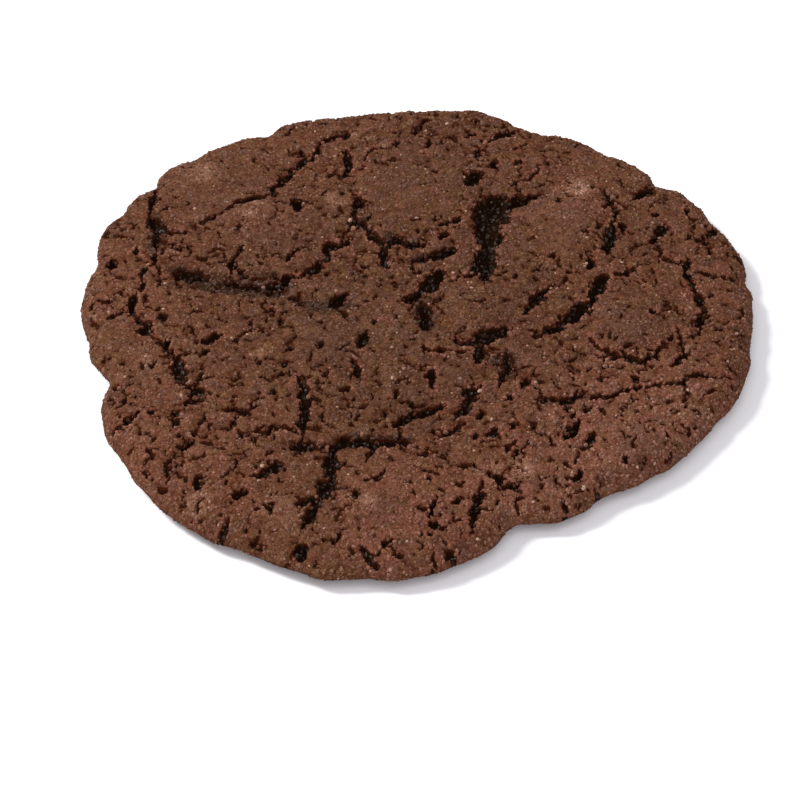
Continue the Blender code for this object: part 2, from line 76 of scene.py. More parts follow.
# Mounds: middle, radius, height
MOUNDS = [
    (-25, 22, 9.5, 1.1), (24, 23, 10, 1.2), (30, -1, 9, 1.1), (8.5, 1.5, 6.5, 1.1),
    (-15, -5, 10, 0.8), (-5, -37, 9.5, 1), (30, -24, 9, 1), (-32, 33, 6.5, 0.8),
    (0, 32, 11, 0.5), (-13, 27, 4.5, 0.7), (-32, -20, 4.5, 0.6), (-31, -28, 5, 0.6),
    (-2, -13, 6, 0.6), (42, 20, 6, 0.5), (25, -21.5, 2.5, 0.5), (18, -10, 6, 0.6),
    (-33, 0, 5, 0.6), (13, -29, 6, 0.5),
]
# Waves of the top: height, turns along X and Y for each millimetre, phase
WAVES = [
    (0.16, 0.19, 0.11, 0.7), (0.14, -0.13, 0.23, 2.1), (0.10, 0.33, -0.21, 4.0), (0.08, 0.24, 0.41, 1.2),
]

# Cracks: width at the middle of the route, then the route's points
CRACKS = [
    # back, from left to right
    (0.6, [(-9.5, 43.5), (-12, 42), (-15, 40.5)]),
    (0.8, [(-15, 40.5), (-15.5, 37.5), (-18, 34.5), (-20, 32), (-22, 29.5), (-21.5, 27)]),
    (1.2, [(-22, 28), (-26.5, 26), (-29, 24.5), (-30, 23)]),
    (0.6, [(-30, 23.5), (-31.5, 22.5), (-33, 21)]),
    (1.6, [(-18.5, 26.5), (-18, 24)]),
    (1.0, [(-11, 38.5), (-11, 36.5), (-10.5, 34), (-11.5, 31.5)]),
    (0.6, [(-6.5, 39), (-8, 37.5), (-8, 36)]),
    (0.9, [(-9, 27), (-9.5, 24.5), (-9.5, 20.5), (-8, 19), (-6.5, 17), (-5, 15.5), (-5, 13.5), (-4.5, 11)]),
    (1.4, [(-9, 26.5), (-9.5, 23.5)]),
    (1.6, [(-8.5, 20), (-6.5, 17.5), (-5, 16.5)]),
    (1.5, [(-5, 15.5), (-5, 11.5)]),
    (1.4, [(-5, 16), (-3, 17), (-1.5, 16), (0.5, 15.5), (1.5, 16)]),
    (1.0, [(15.5, 44), (13.5, 42.5), (12, 41.5), (11, 40)]),
    (0.9, [(9, 42.5), (7.5, 41.5)]),
    (0.9, [(9.5, 39), (9, 36)]),
    (0.8, [(3, 48.5), (3, 47)]),
    (0.9, [(12, 35.5), (11.5, 34)]),
    (1.6, [(9.5, 33), (8.5, 31), (8, 30)]),
    (0.8, [(0, 44), (-0.5, 42.5)]),
    (1.8, [(18.5, 27.5), (16, 26.5), (13.5, 25), (11.5, 24.5)]),
    (4.0, [(12, 25.5), (11, 23), (10.5, 19)]),
    (2.7, [(10.5, 22), (10.5, 17), (10, 12.5), (10, 8.5)]),
    (0.7, [(9.5, 10), (7, 9), (5, 8)]),
    (1.3, [(6.5, 22), (4.5, 21), (3.5, 20.5)]),
    (1.1, [(4.5, 18.5), (3, 17.5)]),
    (0.6, [(15.5, 30.5), (17.5, 31.5), (18.5, 33.5), (19, 35)]),
    (1.1, [(36.5, 31), (35, 29.5), (33.5, 28), (32.5, 27)]),
    (0.7, [(27.5, 29.5), (29, 28), (29.5, 26), (30, 23.5), (29.5, 20.5)]),
    (1.5, [(29.5, 21), (29, 17), (28, 14.5)]),
    (1.5, [(37.5, 21.5), (37, 20), (35.5, 17.5)]),
    (1.3, [(45, 21.5), (44.5, 19.5)]),
    (0.6, [(36, 16.5), (37, 13.5), (38.5, 13), (40, 13.5)]),
    # left
    (0.7, [(-40, 30.5), (-40.5, 26.5), (-40.5, 23.5), (-39.5, 21), (-39.5, 17), (-39.5, 13), (-41.5, 11),
           (-41, 8), (-42.5, 6), (-42.5, 2.5), (-41.5, 1), (-40, 0.5), (-40.5, -2)]),
    (1.2, [(-40.5, 28.5), (-40.5, 26.5)]),
    (1.5, [(-40.5, 23.5), (-39.5, 21.5), (-39, 19.5)]),
    (0.9, [(-41, 9), (-41, 7)]),
    (1.1, [(-42.5, 6), (-42.5, 2)]),
    (1.2, [(-40, 0), (-40.5, -2)]),
    (0.6, [(-39, 20), (-37, 19.5), (-35, 19.5)]),
    (0.6, [(-43, 3), (-46, 1.5)]),
    (0.6, [(-40, -2.5), (-37.5, -4), (-36, -6.5), (-35.5, -8)]),
    (1.4, [(-35.5, -7.5), (-35, -10), (-34.5, -12)]),
    (0.6, [(-34.5, -12), (-34, -13.5), (-33, -13.5)]),
    (1.3, [(-33.5, -13.5), (-31.5, -14.5)]),
    (0.8, [(-34, -17.5), (-33.5, -16.5), (-31, -16.5)]),
    (0.8, [(-26.5, 16), (-27, 14.5), (-28, 12.5), (-28, 10.5)]),
    (0.7, [(-18, 15.5), (-19, 14), (-19.5, 12.5)]),
    (1.2, [(-10, 17), (-11.5, 16), (-13.5, 15.5), (-13.5, 13.5), (-14.5, 12), (-16, 10.5), (-17.5, 9)]),
    (0.9, [(-29, -3), (-30.5, -4), (-32, -4.5)]),
    (0.6, [(-25, -0.5), (-24.5, -2.5)]),
    (0.6, [(-31.5, -10.5), (-32, -12.5)]),
    (0.6, [(-27.5, -13.5), (-26.5, -14), (-25.5, -13.5)]),
    (0.9, [(-40.5, -18), (-42, -19.5), (-43.5, -20.5), (-44, -21)]),
    (0.8, [(-35, -20), (-35, -21)]),
    (1.2, [(-36.5, 11), (-34, 10.5), (-31.5, 9.5)]),
    (0.8, [(-30.5, 9), (-28, 8.5), (-25.5, 8), (-23.5, 7.5)]),
    (1.2, [(-22.5, 8), (-20, 8.5), (-18.5, 9)]),
    (0.7, [(-19, 6), (-17, 4)]),
    # middle
    (1.9, [(6, 15), (4, 14), (2, 13)]),
    (1.0, [(2, 12.5), (-0.5, 12)]),
    (2.0, [(3.5, 10), (2, 7.5), (0, 5)]),
    (1.2, [(0, 4.5), (-2, 3.5)]),
    (2.1, [(1, 2.5), (1, 0.5), (1, -2)]),
    (1.5, [(-10.5, 5.5), (-12, 4), (-12.5, 2.5)]),
    (0.6, [(-12, 2), (-11, 1), (-10, -1)]),
    (1.0, [(-7.5, -3), (-8, -4.5), (-8.5, -7)]),
    (0.8, [(-9.5, -9), (-9, -12)]),
    (1.1, [(2, -10.5), (2, -15)]),
    (0.6, [(0.5, -6), (2, -7), (4, -7), (5, -7)]),
    (1.5, [(5, -4.5), (6, -5.5), (7.5, -6), (9.5, -4.5), (11.5, -3.5), (14, -2)]),
    (1.4, [(9, -5.5), (9, -8), (8.5, -10)]),
    (1.1, [(15.5, 1), (16.5, 2.5), (17.5, 4.5), (19.5, 6.5)]),
    (0.8, [(13, -7), (13, -9.5), (12.5, -12.5), (11.5, -14.5)]),
    (1.1, [(16, -13), (15, -14.5)]),
    (1.4, [(9, -14), (7.5, -15), (7.5, -17), (6.5, -19), (5.5, -20)]),
    # right
    (0.8, [(32.5, 11), (31, 10), (29.5, 9.5)]),
    (1.9, [(28, 9), (27, 7.5), (26, 5.5), (25.5, 3.5), (24, 2.5), (23, 1), (21, -1), (19.5, -2.5)]),
    (0.6, [(18, -3.5), (16.5, -3)]),
    (1.2, [(25.5, 13.5), (26, 12.5), (25.5, 10.5)]),
    (1.0, [(40.5, 14), (40, 12), (41, 8.5), (41.5, 6.5), (42.5, 3.5), (42, 1.5), (41.5, -1), (41.5, -2.5)]),
    (0.9, [(38, -0.5), (38.5, -2), (39, -6), (39, -7), (38, -8.5), (36.5, -9.5)]),
    (0.6, [(25, -4), (25.5, -5), (27, -6.5), (28, -7), (27, -9)]),
    (0.7, [(28.5, -8.5), (30.5, -7.5), (31.5, -8.5), (33, -8.5), (35, -7), (36, -5)]),
    (0.6, [(46, -10.5), (43.5, -11), (40, -11), (38, -12.5), (34.5, -13), (31, -14), (28, -15.5),
           (25, -16.5)]),
    (1.0, [(24.5, -15), (23, -16), (21, -17), (19, -16.5), (17.5, -17)]),
    # front
    (1.1, [(-17.5, -12.5), (-16.5, -15), (-16.5, -18), (-16.5, -20.5), (-16.5, -23)]),
    (1.7, [(3.5, -18), (2, -19), (0, -19.5), (-2, -20.5), (-3.5, -22)]),
    (0.6, [(6.5, -21), (6, -22), (4, -23.5), (2, -24.5)]),
    (1.0, [(0, -26.5), (-1.5, -25.5), (-3.5, -25.5), (-6, -26)]),
    (1.8, [(-4, -25.5), (-6, -26), (-8.5, -25.5), (-11, -25.5), (-12.5, -26.5)]),
    (1.7, [(-12.5, -26), (-12.5, -28), (-12.5, -30.5), (-12.5, -32.5), (-13, -34.5), (-14, -36.5)]),
    (1.4, [(-14, -36.5), (-15.5, -36.5), (-17.5, -37)]),
    (1.2, [(-14, -36.5), (-15, -38.5), (-16, -40), (-16.5, -41.5)]),
    (1.3, [(-32.5, -24), (-33, -25), (-34, -26)]),
    (0.6, [(-28.5, -18.5), (-24.5, -19), (-24, -20.5)]),
    (0.6, [(-24, -23), (-22, -23.5), (-20.5, -22), (-18, -23), (-16.5, -24)]),
    (1.3, [(-18, -26), (-15, -26)]),
    (1.2, [(-19.5, -29), (-21, -30), (-22, -31), (-23.5, -31)]),
    (0.8, [(-30.5, -31), (-31.5, -31.5), (-31.5, -33.5)]),
    (1.3, [(-24.5, -34), (-26.5, -35)]),
    (0.7, [(-27, -39.5), (-28, -41), (-27.5, -42)]),
    (0.7, [(2.5, -35.5), (2, -37.5), (1.5, -39.5)]),
    (0.8, [(6, -35.5), (5, -36.5)]),
    (0.6, [(-4.5, -31), (-6, -33), (-8, -33.5)]),
    (1.1, [(9, -32), (8.5, -36), (7.5, -39), (7.5, -41), (7, -42)]),
    (0.9, [(-8, -44.5), (-6.5, -46.5), (-5.5, -47.5)]),
    (0.9, [(11.5, -22.5), (10.5, -24)]),
    (0.8, [(8, -23), (8, -24.5)]),
    (0.7, [(14.5, -21.5), (13, -23)]),
    (1.4, [(23, -20.5), (22.5, -22), (22, -23.5), (21, -24.5)]),
    (1.0, [(25, -23.5), (24, -25)]),
    (0.9, [(23, -29.5), (23, -30.5), (21, -31.5)]),
]

# Cracks too fine for the solid
FINE_CRACKS = [
    (0.5, [(-8.5, 34.5), (-8, 33)]),
    (0.5, [(1.5, 40.5), (1.5, 39)]),
    (0.5, [(0.5, 37.5), (2, 37)]),
    (0.5, [(-37, 17), (-35.5, 15)]),
    (0.5, [(-39.5, 12.5), (-38.5, 10.5)]),
    (0.5, [(-13, -11), (-14, -12.5)]),
    (0.5, [(32.5, 8.5), (34, 7)]),
    (0.5, [(22, -10.5), (22.5, -12)]),
    (0.5, [(27.5, -11.5), (26, -12.5)]),
    (0.5, [(-31.5, -24.5), (-29.5, -25)]),
    (0.5, [(-39, -25.5), (-38.5, -27), (-39.5, -28)]),
    (0.5, [(-36, -27.5), (-36, -31)]),
    (0.5, [(-37.5, -32.5), (-35.5, -33)]),
    (0.5, [(7, -32.5), (5, -33.5)]),
    (0.5, [(2, -45.5), (1.5, -47.5)]),
    (0.8, [(-4, -43.5), (-5.5, -44.5)]),
    (0.5, [(14, -25), (12.5, -27.5)]),
    (0.5, [(21, -35.5), (21, -37.5)]),
    (0.5, [(35.5, -22), (36.5, -23)]),
    (0.5, [(36.5, -25), (35.5, -26.5)]),
    (0.5, [(37.5, -20), (39, -21), (39, -22)]),
    (0.5, [(36.5, -18), (37.5, -18.5)]),
]

# Broad shallow troughs: width, depth, route
TROUGHS = [
    (5.0, 1.1, [(-37, 11), (-33, 9), (-29, 8), (-25, 7.5), (-20.5, 7)]),
    (3.5, 0.7, [(-20.5, 6), (-17.5, 4), (-14.5, 2.5)]),
    (4.0, 0.5, [(-8.5, -36), (-7.5, -39), (-6.5, -41)]),
]

# Charred dough: width, route
CHARRED = [
    (2.6, [(-37, 11.5), (-33, 10)]),
    (4.4, [(-33, 9), (-29.5, 8), (-26.5, 7.5), (-23.5, 7), (-20, 7.5)]),
    (2.6, [(-19.5, 6), (-17.5, 4.5), (-15.5, 3), (-13, 2.5), (-10, 3)]),
    (2.4, [(-40, 25), (-39.5, 22), (-39.5, 18), (-40, 14.5)]),
    (2.6, [(-12.5, -25.5), (-6, -25), (-1, -25)]),
    (3.4, [(0.5, 3), (1, 0), (1.5, -2.5)]),
    (2.6, [(-1, 12), (2, 13), (6, 15)]),
    (1.8, [(-19, -26), (-14, -26)]),
    (1.8, [(17, -17.5), (21, -17.5), (25, -15)]),
    (2.4, [(10.5, -9), (13, -8), (13, -13)]),
    (2.2, [(-9, 26), (-9.5, 22), (-7, 18), (-3, 16.5), (1, 16)]),
    (2.0, [(4, -6), (8, -5.5), (12, -3.5)]),
]

# Areas of smooth skin: middle, radius, strength
SMOOTH_PATCHES = [
    (-33, 32, 9, 1), (-29, 39.5, 8, 1), (-1, 29.5, 11, 1), (29.5, 35.5, 8, 1),
    (20, 19, 8, 0.8), (-43.5, -1.5, 6, 1), (-9, -1.5, 10, 0.9), (-3.5, -34, 8, 0.8),
    (33, -24, 9, 0.8), (9, 15, 5, 0.7), (31, 1, 8, 0.7), (-24, 23, 7, 0.6),
    (-41, 5, 3.5, 0.8), (8, 2, 6, 0.7), (-30, -3, 5, 0.5), (20, -28, 5, 0.5),
]

# Pits: middle, radius
PITS = [
    (-46, 13.5, 1), (-42.5, 16, 0.6), (31, 20.5, 0.6), (25.5, 18, 0.6), (44, 19, 0.7),
    (36, 24, 0.6), (2.5, 32.5, 0.5), (15.5, 35, 0.5), (-20, 8.5, 0.9), (-34, 10, 0.9),
    (-23.5, 12, 0.5), (-8, 11, 0.5), (-37, -4, 0.6), (19.5, -2, 1.1), (34.5, 1.5, 0.6),
    (31.5, -11.5, 0.6), (13, -16.5, 0.6), (-16.5, -45, 1), (-12, -26.5, 1), (11.5, -32, 0.8),
    (13.5, -33, 0.7), (2.5, -41, 0.8), (4.5, -45, 0.6), (28, -33.5, 0.6), (29.5, -28, 0.5),
    (33, -30, 0.5), (21, -37, 0.6), (43.5, 11, 0.6), (-38.5, -18.5, 0.5),
]

# Pits too small for the solid
FINE_PITS = [
    (-3.5, 43, 0.4), (-3, 47.5, 0.4), (15.5, 38.5, 0.4), (41, 25.5, 0.6), (-22, 6.5, 0.6),
    (-37, 6, 0.4), (-33.5, 7.5, 0.4), (-35, 19.5, 0.4), (-0.5, -0.5, 0.4), (-7.5, 3.5, 0.4),
    (-9, 2.5, 0.4), (-6.5, -1, 0.4), (-21.5, 2, 0.5), (-31, -6.5, 0.4), (22.5, 10, 0.4),
    (46.5, 8, 0.4), (-23, -37.5, 0.5), (-21, -37, 0.5), (1.5, -42.5, 0.5), (1.5, -32.5, 0.4),
    (10, -31, 0.5), (25.5, -33, 0.5),
]

# Painted highlights: pale patches of sheen where the mounds and plates catch the light: middle, radius,
# strength
SHEEN_PATCHES = [
    (-25, 24, 3, 0.9), (24.5, 28.5, 3.2, 1), (-8.5, 42.5, 2.4, 0.8), (-12.5, 25.5, 2, 0.8),
    (-23, -7.5, 2.2, 0.7), (-7.5, -37.5, 2, 0.6), (10, -30.5, 2.5, 0.6), (15, -30, 2.5, 0.7),
    (-31, -36, 2.4, 0.7), (-33, 33, 3, 0.6), (-39, -7, 4, 0.3), (13, -37, 6, 0.2),
    (20, -34, 5, 0.2), (-20, -38, 4, 0.3), (40, -17, 5, 0.3), (31, -25, 20, 0.14),
]
# Greyer dough
GREY_PATCHES = [
    (-13, -7, 5, 0.8), (30.5, -3, 4, 0.9), (31.5, -25.5, 4, 1), (-5, -38.5, 3.5, 0.9),
    (-3, 30, 6, 0.4), (24, 21, 5, 0.5), (-25, 19, 4, 0.5), (-30, 24, 16, 0.4),
]

# Rosy, lighter dough towards the rim, partly painted light that brightens the front right most, and yellower
# dough over the middle
ROSY_AND_LIT_PATCHES = [
    (33, -24, 24, 1), (-36, -26, 20, 0.6), (-46, 8, 12, 0.4), (-34, 36, 14, 0.2),
    (16, -36, 9, 1), (42, -12, 12, 0.7),
    (2, -42, 18, 0.9), (46, 8, 12, 0.6), (24, 26, 9, 0.5), (-24, 22, 8, 0.5),
]
YELLOW_PATCHES = [(-4, 4, 34, 1), (4, 34, 18, 0.6), (30, 0, 14, 0.5)]
PATCHES = {"pale_patch": SHEEN_PATCHES, "grey_patch": GREY_PATCHES, "rosy_patch": ROSY_AND_LIT_PATCHES,
           "yellow_patch": YELLOW_PATCHES}

# How the cracks are cut
CRACK_STEP = 0.3
DEPTH_SHARE = 0.85      # depth of a crack for each millimetre of its width
DEPTH_BASE = 0.55       # and what every crack has before that
DEEPEST = 3.2
END_SHARE = 0.22        # width left at a crack's ends
END_WIDENING = 0.12     # more of it for each millimetre of width
END_MOST = 0.7          # and the most of it
END_RUN = 2.2           # length over which a crack narrows to its ends
END_RUN_SHARE = 0.3     # the same, as the largest share of its length
END_POWER = 0.7         # how soon it widens again
SHORT = 9.0             # length up to which a crack gapes all along
SHORT_HAIRLINE = 0.8
HAIRLINE = 0.42         # share of its width that a crack keeps between the stretches where it gapes
GAPING = 1.30           # and that it has there
NEVER_CLOSED = 3.2      # width of a crack that gapes all along
WANDER_WAVE = 2.2       # length of a stretch that gapes or closes
WANDER_LAYER = 70.5     # where in the noise that is read
OPEN_MIDDLE = 0.55      # how open a crack is on the whole: 0 is a hairline and 1 is where it gapes
OPEN_SWING = 2.0        # how far its stretches differ from that
DEPTH_POWER = 0.6       # how closely its depth follows its width along it
WALL_POWER = 6.0        # how upright the walls are
SWAY = 0.18             # how far a crack's line strays from its route
SWAY_WAVE = 2.6         # length of that straying
RIPPLE = 0.6            # share of a second, shorter straying
RIPPLE_TURN = 11.0      # and its turns for each length of the first
RAGGED = [(2.0, 0.34), (1.0, 0.34), (0.5, 0.22)]   # size and reach of the breaks along a crack's lips
RAGGED_LAYERS = (10.5, 40.5)                       # where in the noise they are read, for X and Y
LIP_REACH = 1.2         # width of the rounding at a crack's lips
LIP_DROP = 0.14
TROUGH_POWER = 2.0      # how upright the troughs' walls are
CHARRED_POWER = 3.0     # and the edges of charred dough
CLEAR_REACH = 1.5       # furthest distance from a crack that is told apart

# Fine cracks between the named ones: the sides of wandering cells, only some of which opened.
# Each network: size of its cells, share of the sides that opened, that share near the rim, least and most
# width, least and most depth, seed.
FISSURES = [
    (4.6, 0.52, 0.50, 0.32, 0.62, 0.6, 1.3, 23),
    (2.6, 0.32, 0.34, 0.24, 0.40, 0.5, 1.0, 31),
]
FISSURE_STRAY = 0.42    # share of a cell that its middle strays
FISSURE_BEND = 0.22     # share of a side's length that its middle strays
FISSURE_TRIM = 0.28     # share of a side that stays closed at its ends, at most
RIM_BAND = 14.0         # how far in the rim's share holds
RIM_CLEAR = 0.5         # least distance of a fissure's middle from the rim
SMOOTH_SPARED = 0.85    # share of the fissures that smooth skin is spared

# Body mesh
MEAN_RADIUS = 50.0
FIELD_REACH = 54.0      # half the side of the square that a field of points fills
MERGE_REACH = 1e-6      # distance within which the triangulation takes two points for one
RIM_STEP = 0.42
TOP_INSETS = [0.04, 0.12, 0.25, 0.45, 0.8, 1.2]
UNDER_INSETS = [0.1, 0.4, 0.8, 1.2, 1.6, 2.0, 2.5, 3.0]
FINE_STEP = 0.43        # between points of the top
CRACK_FINE_STEP = 0.28  # and inside wide cracks
NARROW_SHARES = [-1.05, 0.0, 1.05]              # rows of points along a crack, in half widths from its line
WIDE_FLOOR = 0.84       # where the floor of a wide crack ends, in half widths
WIDE_SHARES = [-1.02, -WIDE_FLOOR, 0.0, WIDE_FLOOR, 1.02]
WIDE_HALF = 0.35        # half width from which a crack is a wide one
FIELD_CLEAR = 1.35      # how clear of a crack the field of points stays, in half widths
PIT_CLEAR = 0.45        # how far round a pit the finer field of points goes
TOP_CLEAR = 0.25        # how clear of the top's innermost ring of points it stays
UNDER_CLEAR = 0.6       # the same for the underside
CLOSEST = 0.13          # least gap between points, nearly
UNDER_STEP = 1.3
STRAY = 0.22            # share of a step that a point strays
SMOOTH_RIM = 0.2        # width of the band along the rim whose skin is smoother
UNDER_SKIN = 1.0        # height up to which the underside's plain skin fades out
SEED = 11

# Camera
CAMERA_ELEVATION = 45.0
CAMERA_DISTANCE = 600.0
CAMERA_AIM = (-2.70, -14.2, 4.0)
PIXELS_PER_MM = 6.86    # at the aim point
FRAME_PIXELS = 800
SENSOR = 36.0

# Lights: name, bearing and elevation in degrees, distance and size in metres, power, colour
LIGHTS = [
    ("window", 165, 47, 1.2, 0.3, 15.2, (1.0, 1.0, 1.0)),
    ("fill", -80, 58, 1.2, 1.2, 7.8, (0.96, 0.95, 1.0)),
]
WORLD_COLOUR = (1.0, 1.0, 1.0, 1.0)
WORLD_STRENGTH = 0.50

# White table
TABLE_HALF = 3.0        # half the length of a side, in metres
TABLE_LOOK = {
    "Base Color": (0.86, 0.85, 0.87, 1.0), "Roughness": 0.7, "Emission Color": (0.97, 0.94, 1.0, 1.0),
    "Emission Strength": 0.04,
}


# Shape of the cookie

def outline_radius(bearing):
    """Radius at bearings in radians: a smooth closed curve through OUTLINE, with small waves."""
    at = np.radians([point[0] for point in OUTLINE])
    value = np.array([point[1] for point in OUTLINE])
    turn = 2 * math.pi
    bearing = np.mod(bearing, turn)
    at = np.concatenate([at[-2:] - turn, at, at[:2] + turn])
    value = np.concatenate([value[-2:], value, value[:2]])
    slope = np.gradient(value, at)
    right = np.clip(np.searchsorted(at, bearing, side="right"), 1, len(at) - 1)
    left = right - 1
    span = at[right] - at[left]
    t = (bearing - at[left]) / span
    radius = (
        value[left] * (1 + 2 * t) * (1 - t) ** 2
        + slope[left] * span * t * (1 - t) ** 2
        + value[right] * t**2 * (3 - 2 * t)
        + slope[right] * span * t**2 * (t - 1)
    )
    for height, number, phase in WOBBLE:
        radius = radius + height * np.sin(number * bearing + phase)
    return radius


def ring(inset, count):
    """Points of the outline, moved in by inset."""
    bearing = np.arange(count) * (2 * math.pi / count)
    radius = outline_radius(bearing) - inset
    x = OUTLINE_MIDDLE[0] + radius * np.cos(bearing)
    y = OUTLINE_MIDDLE[1] + radius * np.sin(bearing)
    return np.stack([x, y], axis=1)


def box_middle():
    corners = ring(0.0, SOLID_RIM_POINTS)
    return (corners.min(axis=0) + corners.max(axis=0)) / 2


def sideways(line):
    """Directions across a line, to its left, at each of its points."""
    forward = np.gradient(line, axis=0)
    forward /= np.linalg.norm(forward, axis=1)[:, None]
    return np.stack([-forward[:, 1], forward[:, 0]], axis=1)


def sampled_route(points, step):
    """Evenly spaced points along a route, straying a little from side to side, and their gaps to its ends."""
    points = np.array(points, dtype=float)
    along = np.concatenate([[0.0], np.cumsum(np.linalg.norm(np.diff(points, axis=0), axis=1))])
    count = max(2, int(round(along[-1] / step)) + 1)
    at = np.linspace(0.0, along[-1], count)
    line = np.stack([np.interp(at, along, points[:, axis]) for axis in (0, 1)], axis=1)
    phase = points[0, 0] + 2 * points[0, 1]
    stray = np.sin(2 * math.pi * at / SWAY_WAVE + phase)
    stray = stray + RIPPLE * np.sin(RIPPLE_TURN * at / SWAY_WAVE + 2 * phase)
    ends = np.minimum(at, along[-1] - at)
    return line + sideways(line) * (SWAY * stray * np.clip(ends / END_RUN, 0, 1))[:, None], ends


class Groove:
    """A crack or trough: a line with a half width and a depth at each of its points."""

    def __init__(self, width, depth, points, gapes=False):
        self.line, ends = sampled_route(points, CRACK_STEP)
        length = 2 * ends.max()
        end_share = min(END_MOST, END_SHARE + END_WIDENING * width)
        end_run = min(END_RUN, END_RUN_SHARE * length)
        narrowing = end_share + (1 - end_share) * np.clip(ends / end_run, 0, 1) ** END_POWER
        wander = drift(self.line[:, 0], self.line[:, 1], WANDER_WAVE, WANDER_LAYER)
        closed = SHORT_HAIRLINE if gapes and length < SHORT else HAIRLINE
        hairline = min(1.0, max(closed, width / NEVER_CLOSED))
        opened = hairline + (GAPING - hairline) * np.clip(OPEN_MIDDLE + OPEN_SWING * wander, 0, 1)
        self.half = 0.5 * width * narrowing * opened
        self.depth = depth * (narrowing * np.minimum(1, opened)) ** DEPTH_POWER

    def rows(self, shares):
        """Rows of points along the line, each at its share of the half width to one side."""
        side = sideways(self.line) * self.half[:, None]
        return [self.line + side * share for share in shares]

    def beside(self, x, y, reach):
        """Finds the places within reach of the line. Gives their gap to it, and its half width and depth."""
        low = self.line.min(axis=0) - reach
        high = self.line.max(axis=0) + reach
        near = np.nonzero((x > low[0]) & (x < high[0]) & (y > low[1]) & (y < high[1]))[0]
        place = np.stack([x[near], y[near]], axis=1)[:, None, :]
        start = self.line[None, :-1]
        run = self.line[None, 1:] - start
        t = ((place - start) * run).sum(axis=2) / np.maximum((run**2).sum(axis=2), TINY)
        t = np.clip(t, 0, 1)
        gap = np.linalg.norm(place - start - run * t[:, :, None], axis=2)
        half = self.half[None, :-1] * (1 - t) + self.half[None, 1:] * t
        deep = self.depth[None, :-1] * (1 - t) + self.depth[None, 1:] * t
        return near, gap, half, deep

    def cut(self, x, y, power, widen=1.0):
        """Depth of the groove at the given places."""
        depth = np.zeros(len(x))
        near, gap, half, deep = self.beside(x, y, self.half.max() * widen)
        if len(near):
            depth[near] = (deep * np.clip(1 - (gap / half / widen) ** power, 0, None)).max(axis=1)
        return depth

    def clearance(self, x, y):
        """Distance from the groove's edge at the given places, up to CLEAR_REACH."""
        clear = np.full(len(x), CLEAR_REACH)
        near, gap, half, _ = self.beside(x, y, self.half.max() + CLEAR_REACH)
        if len(near):
            clear[near] = np.minimum(CLEAR_REACH, (gap - half).min(axis=1))
        return clear


def crack_depth(width):
    return min(DEEPEST, DEPTH_BASE + DEPTH_SHARE * width)


def fissures(cell, open_share, rim_share, thinnest, widest, shallowest, deepest, seed):
    """Fine cracks along the sides of wandering cells."""
    chance = np.random.default_rng(seed)
    x, y = grid_points(cell, chance, FISSURE_STRAY)
    middles = [Vector(place) for place in zip(x, y)]
    result = geometry.delaunay_2d_cdt(middles, [], [], 0, MERGE_REACH)
    places = np.array([tuple(point) for point in result[0]])
    beside = {}
    for triangle in result[2]:
        middle = places[list(triangle)].mean(axis=0)
        for first, second in zip(triangle, triangle[1:] + triangle[:1]):
            beside.setdefault((min(first, second), max(first, second)), []).append(middle)
    made = []
    for side in sorted(beside):
        draw = chance.uniform(0, 1, 6)
        if len(beside[side]) < 2:
            continue
        start, end = beside[side]
        centre = (start + end) / 2
        inset = inset_at(centre[:1], centre[1:])[0][0]
        share = rim_share if inset < RIM_BAND else open_share
        share = share * (1 - SMOOTH_SPARED * patch_strength(centre[:1], centre[1:], SMOOTH_PATCHES)[0])
        if draw[0] > share or inset < RIM_CLEAR:
            continue
        along = end - start
        across = np.array([-along[1], along[0]])
        centre = centre + across * FISSURE_BEND * (2 * draw[1] - 1)
        start = start + along * FISSURE_TRIM * draw[2]
        end = end - along * FISSURE_TRIM * draw[3]
        width = thinnest + (widest - thinnest) * draw[4] ** 2
        depth = shallowest + (deepest - shallowest) * draw[5]
        made.append(Groove(width, depth, [tuple(start), tuple(centre), tuple(end)]))
    return made


def named_cracks():
    return [Groove(width, crack_depth(width), points, True) for width, points in CRACKS + FINE_CRACKS]


def all_cracks():
    made = named_cracks()
    for network in FISSURES:
        made += fissures(*network)
    return made


def inset_at(x, y):
    """Distance in from the rim, and share of the way out to it."""
    across = x - OUTLINE_MIDDLE[0]
    up = y - OUTLINE_MIDDLE[1]
    radius = np.hypot(across, up)
    edge = outline_radius(np.arctan2(up, across))
    return edge - radius, radius / edge


def quarter_round(inset, run):
    """Rises from 0 at the rim to 1 at run, as a quarter of an ellipse does."""
    share = np.clip(inset / run, 0, 1)
    return np.sqrt(np.clip(1 - (1 - share) ** 2, 0, 1))


def under_height(x, y):
    inset, _ = inset_at(x, y)
    return RIM_HEIGHT * (1 - np.clip(inset / UNDER_RUN, 0, 1))


def drift(x, y, size, layer):
    """Smooth noise between about -1 and 1, whose lumps have the given size."""
    return np.array([noise.noise(Vector((a / size, b / size, layer))) for a, b in zip(x, y)])


def ragged(x, y):
    """Places moved a little, so that what is drawn there has broken edges."""
    across = x.copy()
    up = y.copy()
    for layer, (size, reach) in enumerate(RAGGED):
        across = across + reach * drift(x, y, size, RAGGED_LAYERS[0] + layer)
        up = up + reach * drift(x, y, size, RAGGED_LAYERS[1] + layer)
    return across, up


def crack_cut(x, y, cracks):
    """Depth of the cracks and pits, and of the rounding at their lips."""
    across, up = ragged(x, y)
    depth = np.zeros(len(x))
    lip = np.zeros(len(x))
    for crack in cracks:
        depth = np.maximum(depth, crack.cut(across, up, WALL_POWER))
        softened = crack.cut(across, up, 1.0, 1.0 + LIP_REACH / crack.half.max())
        lip = np.maximum(lip, LIP_DROP * np.clip(softened, 0, 1))
    for middle_x, middle_y, radius in PITS + FINE_PITS:
        share = np.hypot(across - middle_x, up - middle_y) / radius
        depth = np.maximum(depth, crack_depth(2 * radius) * np.clip(1 - share**WALL_POWER, 0, 1))
    return depth, lip


